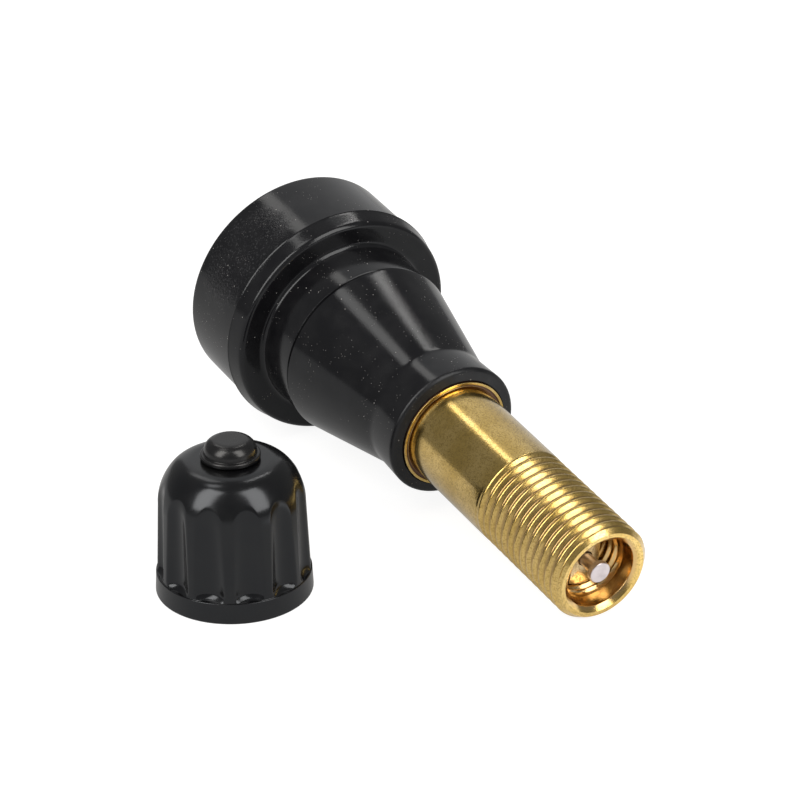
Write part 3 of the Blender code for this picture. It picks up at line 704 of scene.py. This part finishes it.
recess_group, inputs, outputs = new_group(
    "stem_recesses",
    {"Position": None},
    ["Roots", "Recess", "Bore", "Cut"],
)
tree = recess_group
place = use_group(tree, valve_group, {"Position": inputs["Position"]})
on_thread = band(tree, place["Along"], thread_floor, thread_floor + thread_pitch)
outside_bore = band(tree, place["Radius"], 3.10 * MM, 3.30 * MM)
low = opposite(tree, band(tree, place["Radius"], thread_radius - 0.34 * MM, thread_radius - 0.12 * MM))
off_mouth = opposite(tree, band(tree, place["Along"], valve_length - 0.75 * MM, valve_length - 0.45 * MM))
below_rim = opposite(tree, band(tree, place["Along"], ring_face - 0.07 * MM, ring_face - 0.03 * MM))
outside_shank = band(tree, place["Radius"], shank_radius + 0.07 * MM, shank_radius + 0.11 * MM)
in_bore = opposite(tree, band(tree, place["Radius"], 2.85 * MM, 3.10 * MM))
tree.links.new(math(tree, "MULTIPLY", on_thread, outside_bore), outputs["Cut"])
tree.links.new(math(tree, "MULTIPLY", math(tree, "MULTIPLY", low, on_thread), off_mouth), outputs["Roots"])
tree.links.new(math(tree, "MULTIPLY", below_rim, outside_shank), outputs["Recess"])
tree.links.new(in_bore, outputs["Bore"])


def brass_material(name, colour, deep, roughness, ring_depth, painted_shades, lacquer):
    """Turned brass with fine lathe rings, an uneven film that deepens the colour, painted shade in its
    hollows and lacquer.
    """
    made, tree, shader, position = finish_material(name, colour, roughness, 1.0)
    shader.inputs["Coat Weight"].default_value = lacquer
    shader.inputs["Coat Roughness"].default_value = 0.06
    marks = use_group(tree, brass_group, {"Position": position, "Ring": 0.06 * MM, "Mottle": 0.17 * MM})
    recesses = use_group(tree, recess_group, {"Position": position})
    mottled = tuple(0.72 * value for value in deep)
    spots = math(tree, "MULTIPLY", band(tree, marks["Mottle"], 0.47, 0.60), 0.85)
    tint = mix_colour(tree, band(tree, marks["Film"], 0.30, 0.75), colour, deep)
    tint = mix_colour(tree, spots, tint, mottled)
    # Painted shade: each listed hollow is tinted darker, in place of the shade and reflections that fall in
    # it.
    for recess, stain in painted_shades.items():
        tint = mix_colour(tree, recesses[recess], tint, stain)
    tree.links.new(tint, shader.inputs["Base Color"])
    rough = math(tree, "MULTIPLY_ADD", marks["Mottle"], 0.12, roughness - 0.06)
    rough = math(tree, "MULTIPLY_ADD", recesses["Cut"], 0.08, rough)
    rough = math(tree, "MULTIPLY_ADD", recesses["Recess"], 0.35, rough)
    tree.links.new(rough, shader.inputs["Roughness"])
    grain = bump(tree, shader, marks["Mottle"], 0.5, 0.009 * MM)
    bump(tree, shader, marks["Height"], 0.5, ring_depth, grain)
    return made


# Painted shade: darker brass in the thread roots and the ring's recess, and a deeper, warmer brass in the
# bore for its shade and the brass it mirrors.
stem_painted_shades = {"Roots": (0.40, 0.26, 0.10), "Recess": (0.14, 0.07, 0.045), "Bore": (0.68, 0.45, 0.18)}
stem_colours = (0.87, 0.62, 0.22), (0.70, 0.47, 0.12)
brass = brass_material("bright_brass", *stem_colours, 0.17, 0.0015 * MM, stem_painted_shades, 0.55)

form = bmesh.new()
thread(form, thread_floor, valve_length, thread_pitch, stem_columns, stem_thread_radius)
core_thread_ends = valve_length - core_thread_foot, valve_length - core_thread_top
thread(form, *core_thread_ends, core_thread_pitch, stem_columns, core_thread_wall)
shank = [
    (shank_radius, thread_floor),
    (shank_radius, ring_face + 0.45 * MM, 1.2 * MM),
    (shank_radius + shank_flare, ring_face - recess_depth, 0.05 * MM),
    (shoulder_radius - ring_rim, ring_face - recess_depth, 0.04 * MM),
    (shoulder_radius - ring_rim, ring_face, 0.01 * MM),
    (shoulder_radius, ring_face, 0.03 * MM),
    (shoulder_radius, shoulder_back),
    (root_radius, shoulder_back),
]
for low, high in reversed(rib_bands):
    shank += [
        (root_radius, high),
        (rib_radius, high, 0.1 * MM),
        (rib_radius, low, 0.1 * MM),
        (root_radius, low),
    ]
shank += [
    (root_radius, foot_band[1]),
    (foot_radius, foot_band[1], 0.1 * MM),
    (foot_radius, foot_band[0], 0.1 * MM),
    (air_bore_radius, foot_band[0], 0.1 * MM),
    (air_bore_radius, valve_length - chamber_end - 0.7 * MM),
    (chamber_radius, valve_length - chamber_end),
    (chamber_radius, valve_length - seat_end),
    (seat_top_radius, valve_length - seat_depth, 0.1 * MM),
    (core_thread_radius, valve_length - core_thread_foot),
]
turned(form, evenly(rounded(shank, radians(15)), 0.8 * MM), stem_columns)
mouth_outline = [
    (core_thread_radius, valve_length - core_thread_top),
    (mouth_bore_radius, valve_length - 1.5 * MM, 0.05 * MM),
    (mouth_bore_radius, valve_length - 0.3 * MM, 0.12 * MM),
    (mouth_face_inner, valve_length, 0.06 * MM),
    (thread_radius - mouth_chamfer, valve_length),
]
turned(form, evenly(rounded(mouth_outline, radians(15)), 0.3 * MM), stem_columns)
valve_stem = piece("turned_valve_stem", form, brass, valve_frame)
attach(valve_stem, "valve_and_cap")
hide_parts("valve_stem")


# The core plug. The core's head is turned brass with two flats milled off it, which leave a bridge for the
# pin and windows for the air. It screws into the stem below the mouth.
bridge_top = 2.2 * MM
bridge_length = 1.7 * MM
bridge_width = 2.3 * MM
window_depth = 2.3 * MM
plug_head_radius = 2.2 * MM
plug_radius = 2.5 * MM
plug_thread_depth = 0.2 * MM
plug_thread_top = bridge_top + bridge_length + 0.3 * MM
plug_end = bridge_top + bridge_length + 3.0 * MM
plug_chamber_top = bridge_top + 1.2 * MM
plug_chamber_radius = 1.7 * MM
plug_lip = 0.4 * MM
pin_hole_radius = 0.55 * MM
barrel_neck_hole = 1.38 * MM
core_columns = 96
plug_weld = 0.0002 * MM

core_brass = brass_material("core_brass", (0.78, 0.62, 0.36), (0.48, 0.32, 0.14), 0.22, 0.003 * MM, {}, 0.2)


def depths(corners):
    """Corners given as (radius, depth below the mouth), as heights above the base."""
    return [(corner[0], valve_length - corner[1], *corner[2:]) for corner in corners]


def plug_thread_wall(height, share):
    depth = valve_length - height
    crest = plug_radius - max(0, plug_thread_top + 0.25 * MM - depth)
    full = plug_radius - plug_thread_depth * (1 - ridge(share, 0.1))
    return min(full, crest)


form = bmesh.new()
plug_thread_ends = valve_length - plug_end, valve_length - plug_thread_top
thread(form, *plug_thread_ends, core_thread_pitch, core_columns, plug_thread_wall)
head_foot_radius = plug_thread_wall(valve_length - plug_thread_top, 0)
plug_foot_radius = plug_radius - plug_thread_depth
plug_head = depths(
    [
        (head_foot_radius, plug_thread_top),
        (plug_head_radius, bridge_top + bridge_length),
        (plug_head_radius, bridge_top, 0.15 * MM),
        (pin_hole_radius, bridge_top, 0.08 * MM),
        (pin_hole_radius, plug_chamber_top),
        (plug_chamber_radius, plug_chamber_top),
        (plug_chamber_radius, plug_end - plug_lip),
        (barrel_neck_hole, plug_end - plug_lip),
        (barrel_neck_hole, plug_end),
        (plug_foot_radius, plug_end),
    ]
)
turned(form, rounded(plug_head, radians(15)), core_columns)


def plug_foot(row, column):
    """The thread's foot is a spiral edge, so a thin wall closes it down to the plain end ring."""
    height = valve_length - plug_end
    return (plug_thread_wall(height, -column / core_columns) if row else plug_foot_radius), height


skin(form, 2, core_columns, plug_foot)
core_plug = piece("screwed_core_plug", form, core_brass, Matrix.Identity(4))

cutter_form = bmesh.new()
for side in (-1, 1):
    flat_width = 2 * plug_radius
    block = bmesh.ops.create_cube(cutter_form, size=1)["verts"]
    bmesh.ops.scale(cutter_form, vec=(4 * plug_radius, flat_width, 2 * window_depth), verts=block)
    middle = (0, side * (bridge_width + flat_width) / 2, valve_length - bridge_top)
    bmesh.ops.translate(cutter_form, vec=middle, verts=block)
cutter = piece("plug_flats", cutter_form, core_brass, Matrix.Identity(4))
milled = core_plug.modifiers.new("Mill flats", "BOOLEAN")
milled.operation = "DIFFERENCE"
milled.solver = "EXACT"
milled.object = cutter
edges = core_plug.modifiers.new("Break edges", "BEVEL")
edges.width = 0.06 * MM
edges.segments = 2
edges.limit_method = "ANGLE"
edges.angle_limit = radians(50)
graph = bpy.context.evaluated_depsgraph_get()
plug_mesh = bpy.data.meshes.new_from_object(core_plug.evaluated_get(graph))
core_plug.modifiers.clear()
core_plug.data = plug_mesh
bpy.data.objects.remove(cutter)
form = bmesh.new()
form.from_mesh(plug_mesh)
bmesh.ops.remove_doubles(form, verts=form.verts, dist=plug_weld)
form.to_mesh(plug_mesh)
form.free()
plug_mesh.transform(valve_frame)
plug_mesh.shade_smooth()
plug_mesh.set_sharp_from_angle(angle=radians(35))
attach(core_plug, "valve_and_cap")
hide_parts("core_plug")


# The core barrel and its seal. A drawn brass tube swivels in the plug by its head, and the plastic ring in
# its groove is pressed against the cone seat inside the stem.
barrel_radius = 1.7 * MM
barrel_neck_radius = 1.28 * MM
barrel_neck_bore_radius = 0.92 * MM
barrel_foot_hole_radius = 0.8 * MM
barrel_head_end = plug_end - plug_lip - 0.1 * MM
barrel_head_top = barrel_head_end - 0.7 * MM
barrel_top = plug_end + 0.4 * MM
barrel_end = barrel_top + 10.7 * MM
barrel_bore_radius = 1.18 * MM
barrel_bore_top = barrel_top + 0.4 * MM
barrel_foot_top = barrel_end - 0.7 * MM
seal_top = seat_depth + 0.3 * MM
seal_end = seal_top + 1.9 * MM
seal_groove_radius = 1.45 * MM
barrel_outline = depths(
    [
        (plug_chamber_radius - 0.1 * MM, barrel_head_top, 0.1 * MM),
        (plug_chamber_radius - 0.1 * MM, barrel_head_end, 0.1 * MM),
        (barrel_neck_radius, barrel_head_end, 0.05 * MM),
        (barrel_neck_radius, barrel_top, 0.05 * MM),
        (barrel_radius, barrel_top, 0.15 * MM),
        (barrel_radius, seal_top, 0.05 * MM),
        (seal_groove_radius, seal_top),
        (seal_groove_radius, seal_end),
        (barrel_radius, seal_end, 0.05 * MM),
        (barrel_radius, barrel_end, 0.2 * MM),
        (barrel_foot_hole_radius, barrel_end, 0.1 * MM),
        (barrel_foot_hole_radius, barrel_foot_top),
        (barrel_bore_radius, barrel_foot_top, 0.1 * MM),
        (barrel_bore_radius, barrel_bore_top, 0.1 * MM),
        (barrel_neck_bore_radius, barrel_bore_top, 0.05 * MM),
        (barrel_neck_bore_radius, barrel_head_top, 0.1 * MM),
    ]
)
form = bmesh.new()
turned(form, rounded(barrel_outline, radians(20)), core_columns, closed=True)
core_barrel = piece("drawn_core_barrel", form, core_brass, valve_frame)
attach(core_barrel, "valve_and_cap")
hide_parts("core_barrel")


def plastic_material(name, colour, worn, roughness):
    """Moulded plastic with a faint ripple and a slightly uneven colour."""
    made, tree, shader, position = finish_material(name, colour, roughness)
    moulded = use_group(tree, moulded_group, {"Position": position, "Grain": 0.15 * MM, "Bloom": 1.0 * MM})
    tree.links.new(mix_colour(tree, moulded["Bloom"], colour, worn), shader.inputs["Base Color"])
    rough = math(tree, "MULTIPLY_ADD", moulded["Bloom"], 0.2, roughness - 0.1)
    tree.links.new(rough, shader.inputs["Roughness"])
    bump(tree, shader, moulded["Height"], 0.2, 0.01 * MM)
    return made


seal_plastic = plastic_material("seal_plastic", (0.78, 0.76, 0.71), (0.68, 0.65, 0.58), 0.45)
seat_gap = 0.06 * MM
seat_fall = (chamber_radius - seat_top_radius) / (seat_end - seat_depth)
ring_top, ring_end = seal_top + seat_gap, seal_end - seat_gap
seal_outline = depths(
    [
        (seat_top_radius + seat_fall * (ring_top - seat_depth) - seat_gap, ring_top, 0.15 * MM),
        (seat_top_radius + seat_fall * (ring_end - seat_depth) - seat_gap, ring_end, 0.15 * MM),
        (seal_groove_radius + seat_gap, ring_end, 0.05 * MM),
        (seal_groove_radius + seat_gap, ring_top, 0.05 * MM),
    ]
)
form = bmesh.new()
turned(form, rounded(seal_outline, radians(15)), core_columns, closed=True)
barrel_seal = piece("moulded_barrel_seal", form, seal_plastic, valve_frame)
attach(barrel_seal, "valve_and_cap")
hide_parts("barrel_seal")


# The core pin. A headed pin of plated steel wire runs through the bridge, carries the spring's collar
# inside the barrel and is riveted over the poppet at its end. Pressing its head lets the air out.
pin_head_depth = 0.3 * MM
pin_head_radius = 0.82 * MM
pin_head_end = 0.75 * MM
pin_radius = 0.45 * MM
pin_neck_radius = 0.51 * MM
pin_neck_end = bridge_top + 0.5 * MM
pin_collar_radius = 1.05 * MM
pin_collar_top = barrel_bore_top + 0.6 * MM
pin_collar_end = pin_collar_top + 0.4 * MM
washer_top = barrel_end + seat_gap
washer_end = washer_top + 0.8 * MM
cup_top = washer_top + 0.3 * MM
cup_end = cup_top + 1.7 * MM
rivet_radius = 0.75 * MM
rivet_top = cup_end + seat_gap
pin_end = rivet_top + 0.35 * MM
pin_columns = 64

steel_group, inputs, outputs = new_group(
    "drawn_steel",
    {"Position": None, "Grain": 0.08 * MM},
    ["Height", "Stain"],
)
tree = steel_group
stain = node(tree, "TexNoise", {"Vector": inputs["Position"], "Scale": 900.0, "Detail": 3.0})
tree.links.new(clouds(tree, inputs["Position"], inputs["Grain"], 3.0), outputs["Height"])
tree.links.new(stain.outputs[0], outputs["Stain"])


def steel_material(name, colour, dull, roughness):
    """Plated steel: satin, with a fine grain and a few duller patches."""
    made, tree, shader, position = finish_material(name, colour, roughness, 1.0)
    drawn = use_group(tree, steel_group, {"Position": position, "Grain": 0.07 * MM})
    tint = mix_colour(tree, band(tree, drawn["Stain"], 0.45, 0.75), colour, dull)
    tree.links.new(tint, shader.inputs["Base Color"])
    rough = math(tree, "MULTIPLY_ADD", drawn["Stain"], 0.25, roughness - 0.12)
    tree.links.new(rough, shader.inputs["Roughness"])
    bump(tree, shader, drawn["Height"], 0.4, 0.004 * MM)
    return made


pin_metal = steel_material("pin_metal", (0.66, 0.60, 0.61), (0.50, 0.45, 0.46), 0.34)
pin_outline = depths(
    [
        (0, pin_head_depth),
        (pin_head_radius, pin_head_depth, 0.08 * MM),
        (pin_head_radius, pin_head_end, 0.05 * MM),
        (pin_neck_radius, pin_head_end, 0.05 * MM),
        (pin_neck_radius, pin_neck_end, 0.05 * MM),
        (pin_radius, pin_neck_end + 0.1 * MM, 0.05 * MM),
        (pin_radius, pin_collar_top, 0.05 * MM),
        (pin_collar_radius, pin_collar_top, 0.06 * MM),
        (pin_collar_radius, pin_collar_end, 0.06 * MM),
        (pin_radius, pin_collar_end, 0.05 * MM),
        (pin_radius, rivet_top),
        (rivet_radius, rivet_top, 0.05 * MM),
        (rivet_radius, pin_end, 0.2 * MM),
        (0, pin_end),
    ]
)
form = bmesh.new()
turned(form, rounded(pin_outline, radians(15)), pin_columns)
core_pin = piece("headed_core_pin", form, pin_metal, valve_frame)
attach(core_pin, "pin")
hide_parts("core_pin")


# The poppet. A rubber washer shuts the barrel's lower end, and the pressed brass cup that carries it is
# riveted to the pin, so both drop clear when the pin is pressed.
washer_radius = 1.45 * MM
washer_outline = depths(
    [
        (washer_radius, washer_top, 0.08 * MM),
        (washer_radius, washer_end, 0.05 * MM),
        (pin_radius + seat_gap, washer_end),
        (pin_radius + seat_gap, washer_top, 0.05 * MM),
    ]
)
cup_radius = 1.67 * MM
cup_wall = 0.12 * MM
cup_outline = depths(
    [
        (cup_radius, cup_top, 0.04 * MM),
        (cup_radius, cup_end, 0.25 * MM),
        (pin_radius + seat_gap, cup_end, 0.05 * MM),
        (pin_radius + seat_gap, washer_end + seat_gap),
        (cup_radius - cup_wall, washer_end + seat_gap),
        (cup_radius - cup_wall, cup_top, 0.04 * MM),
    ]
)
washer_rubber = rubber_material("washer_rubber", 0.0)
for name, outline, finish, cad_node, slot in (
    ("poppet_washer", washer_outline, washer_rubber, "poppet_seal", "rubber"),
    ("pressed_poppet_cup", cup_outline, core_brass, "poppet_cup", "core_brass"),
):
    form = bmesh.new()
    turned(form, rounded(outline, radians(20)), core_columns, closed=True)
    part = piece(name, form, finish, valve_frame)
    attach(part, "pin")
    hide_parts(cad_node)


# The pin spring. A small coil of steel wire with closed ends, squeezed between the barrel's foot and the
# pin's collar. The real one shortens by the pin's travel when the pin is pressed; this one is built at rest.
wire_radius = 0.12 * MM
spring_turns = 8
closed_turns = 1
steps_per_turn = 40
wire_sides = 12
spring_low = valve_length - barrel_foot_top + seat_gap + wire_radius
spring_high = valve_length - pin_collar_end - seat_gap - wire_radius
spring_radius = barrel_bore_radius - seat_gap - wire_radius
closed_pitch = 2 * wire_radius + seat_gap
open_turns = spring_turns - 2 * closed_turns
open_pitch = (spring_high - spring_low - 2 * closed_turns * closed_pitch) / open_turns

spring_steel = steel_material("spring_steel", (0.56, 0.56, 0.58), (0.42, 0.41, 0.42), 0.30)


def spring_point(turns):
    """A point on the wire's middle line, after a number of turns from its lower end."""
    lower = min(turns, closed_turns) * closed_pitch
    upper = max(turns - (spring_turns - closed_turns), 0) * closed_pitch
    middle = min(max(turns - closed_turns, 0), open_turns) * open_pitch
    height = spring_low + lower + middle + upper
    angle = -2 * pi * turns + pi
    return Vector((spring_radius * cos(angle), spring_radius * sin(angle), height))


form = bmesh.new()
count = spring_turns * steps_per_turn
hoops = []
for i in range(count + 1):
    here = spring_point(i / steps_per_turn)
    ahead = spring_point(min(i + 1, count) / steps_per_turn) - spring_point(max(i - 1, 0) / steps_per_turn)
    outward = Vector((here.x, here.y, 0)).normalized()
    across = ahead.normalized().cross(outward)
    hoop = []
    for side in range(wire_sides):
        angle = 2 * pi * side / wire_sides
        hoop.append(form.verts.new(here + wire_radius * (outward * cos(angle) + across * sin(angle))))
    hoops.append(hoop)
for hoop, following in zip(hoops, hoops[1:]):
    for side in range(wire_sides):
        onward = (side + 1) % wire_sides
        form.faces.new((hoop[side], hoop[onward], following[onward], following[side]))
form.faces.new(hoops[0])
form.faces.new(hoops[-1])
pin_spring = piece("coiled_pin_spring", form, spring_steel, valve_frame)
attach(pin_spring, "valve_and_cap")
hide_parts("pin_spring")
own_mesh(pin_spring)


# The cap shell. One injection moulding in glossy black plastic: a plain ring at its mouth, twelve flutes
# that run out in arches under the dome, a rounded crown with a hole, and the cap thread inside.
cap_side_height = 7.0 * MM
cap_top_radius = 5.28 * MM
cap_body_radius = 5.52 * MM
cap_ring_radius = 5.695 * MM
cap_ring_height = 1.6 * MM
cap_dome_radius = 3.94 * MM
cap_dome_sweep = radians(40)
cap_shoulder_radius = 2.2 * MM
cap_shoulder_sweep = radians(47)
crown_rise = 0.04 * MM
crown_hole_radius = 1.2 * MM
cap_bore_radius = 3.95 * MM
cap_mouth_radius = 4.15 * MM
cap_mouth_height = 1.2 * MM
cap_thread_depth = 0.38 * MM
cap_thread_floor = cap_mouth_height + 0.2 * MM
cap_thread_top = 6.6 * MM
cap_thread_steps = 8
flute_count = 12
flute_radius = 1.6 * MM
flute_centre = 6.55 * MM
flute_end_round = 0.55 * MM
flute_softness = 0.22 * MM
cap_columns = 396
cap_turn = radians(12.9)
shell_low, shell_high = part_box("cap_shell")
cap_foot = Vector(((shell_low.x + shell_high.x) / 2, (shell_low.y + shell_high.y) / 2, shell_low.z))
cap_frame = Matrix.Translation(cap_foot) @ Matrix.Rotation(cap_turn, 4, "Z")

dome_centre = Vector((cap_top_radius - cap_dome_radius, cap_side_height))
shoulder_offset = cap_dome_radius - cap_shoulder_radius
shoulder_centre = dome_centre + shoulder_offset * Vector((cos(cap_dome_sweep), sin(cap_dome_sweep)))
crown_angle = cap_dome_sweep + cap_shoulder_sweep
crown_top = shoulder_centre.y + cap_shoulder_radius * sin(crown_angle) + crown_rise
cap_ceiling = crown_top - 1.15 * MM
dome = []
for centre, radius, start, finish, steps in (
    (shoulder_centre, cap_shoulder_radius, crown_angle, cap_dome_sweep, 24),
    (dome_centre, cap_dome_radius, cap_dome_sweep, 0, 40),
):
    for step in range(1 if dome else 0, steps + 1):
        angle = start + (finish - start) * step / steps
        dome.append(tuple(centre + radius * Vector((cos(angle), sin(angle)))))
shell_outline = evenly(
    rounded(
        [
            (crown_hole_radius, crown_top, 0.1 * MM),
            *dome,
            (cap_body_radius, cap_ring_height, 0.04 * MM),
            (cap_ring_radius - 0.08 * MM, cap_ring_height, 0.12 * MM),
            (cap_ring_radius, 0, 0.15 * MM),
            (cap_mouth_radius + 0.25 * MM, 0),
        ],
        radians(12),
    ),
    0.13 * MM,
)


def flute_floor(angle, height):
    """How far out the wall of the nearest flute stands, with a rounded end on the ring."""
    pitch = 2 * pi / flute_count
    off = (angle + pitch / 2) % pitch - pitch / 2
    reach = flute_radius**2 - (flute_centre * sin(off)) ** 2
    if height <= cap_ring_height or reach <= 0:
        return None
    wall = flute_centre * cos(off) - sqrt(reach)
    above = height - cap_ring_height
    if above < flute_end_round:
        wall += flute_end_round - sqrt(flute_end_round**2 - (flute_end_round - above) ** 2)
    return wall


def soft_least(first, second, softness):
    """The lesser of two, with the corner between them rounded off."""
    share = max(softness - abs(first - second), 0) / softness
    return min(first, second) - share * share * softness / 4


def shell_point(row, column):
    radius, height = shell_outline[row]
    wall = flute_floor(2 * pi * column / cap_columns, height)
    return (radius if wall is None else soft_least(radius, wall, flute_softness)), height


def cap_thread_wall(height, share):
    """The cap's own thread, rounded over, with a lead at each end."""
    ends = min(height - cap_thread_floor, cap_thread_top - height)
    return cap_bore_radius - min(cap_thread_depth * ridge(share, 0.1), max(ends, 0))


cap_plastic, tree, shader, position = finish_material("cap_plastic", (0.004, 0.004, 0.0045), 0.2)
# The cool specular tint is painted reflection colour: it stands in for the bluish room that the cap mirrors.
shader.inputs["Specular Tint"].default_value = (0.90, 0.94, 1.0, 1)
moulded = use_group(tree, moulded_group, {"Position": position, "Grain": 0.5 * MM, "Bloom": 2.2 * MM})
rubbed = band(tree, moulded["Bloom"], 0.35, 0.75)
tint = mix_colour(tree, rubbed, (0.0035, 0.0035, 0.004), (0.0055, 0.0055, 0.0055))
tree.links.new(tint, shader.inputs["Base Color"])
tree.links.new(math(tree, "MULTIPLY_ADD", rubbed, 0.06, 0.17), shader.inputs["Roughness"])
bump(tree, shader, moulded["Height"], 0.12, 0.02 * MM)

form = bmesh.new()
skin(form, len(shell_outline), cap_columns, shell_point)
cap_floor_wall = [
    (cap_mouth_radius + 0.25 * MM, 0),
    (cap_mouth_radius, 0.25 * MM),
    (cap_mouth_radius, cap_mouth_height),
    (cap_bore_radius, cap_thread_floor),
]
turned(form, [Vector(point) for point in cap_floor_wall], cap_columns)
cap_thread_ends = cap_thread_floor, cap_thread_top
thread(form, *cap_thread_ends, thread_pitch, cap_columns, cap_thread_wall, cap_thread_steps)
cap_roof = [
    (cap_bore_radius, cap_thread_top),
    (cap_bore_radius, cap_ceiling, 0.7 * MM),
    (crown_hole_radius, cap_ceiling),
    tuple(shell_outline[0]),
]
turned(form, rounded(cap_roof), cap_columns)
cap_shell = piece("fluted_cap_shell", form, cap_plastic, cap_frame, radians(50), 0.0003 * MM)
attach(cap_shell, "valve_and_cap")
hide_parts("cap_shell")


# The cap seal. One rubber plug pulled through the crown's hole: the disc inside seals on the stem's mouth,
# and the collar and button outside hold it in.
disc_top = cap_ceiling - 0.1 * MM
disc_floor = disc_top - 0.9 * MM
disc_radius = 3.75 * MM
plug_stem_radius = 1.1 * MM
collar_floor = crown_top + 0.1 * MM
collar_top = collar_floor + 0.36 * MM
collar_radius = 2.16 * MM
button_radius = 1.9 * MM
button_top = collar_top + 1.05 * MM
button_round = 0.9 * MM
button_steps = 16
seal_columns = 128

cap_rubber, tree, shader, position = finish_material("cap_rubber", (0.005, 0.005, 0.006), 0.25)
moulded = use_group(tree, moulded_group, {"Position": position, "Grain": 0.07 * MM, "Bloom": 0.9 * MM})
tint = mix_colour(tree, moulded["Bloom"], (0.0045, 0.0045, 0.0055), (0.008, 0.008, 0.008))
tree.links.new(tint, shader.inputs["Base Color"])
tree.links.new(math(tree, "MULTIPLY_ADD", moulded["Bloom"], 0.12, 0.20), shader.inputs["Roughness"])
bump(tree, shader, moulded["Height"], 0.2, 0.006 * MM)

button_dome = [
    (button_radius - button_round * (1 - sin(angle)), button_top - button_round * (1 - cos(angle)))
    for angle in (radians(90) * step / button_steps for step in range(button_steps + 1))
]
seal_outline = rounded(
    [
        (0, button_top),
        *button_dome,
        (button_radius, collar_top, 0.05 * MM),
        (collar_radius, collar_top, 0.12 * MM),
        (collar_radius, collar_floor, 0.1 * MM),
        (plug_stem_radius, collar_floor),
        (plug_stem_radius, disc_top),
        (disc_radius, disc_top, 0.65 * MM),
        (disc_radius, disc_floor, 0.1 * MM),
        (0, disc_floor),
    ]
)
form = bmesh.new()
turned(form, evenly(seal_outline, 0.3 * MM), seal_columns)
cap_seal = piece("cap_seal_plug", form, cap_rubber, cap_frame)
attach(cap_seal, "valve_and_cap")
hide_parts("cap_seal")
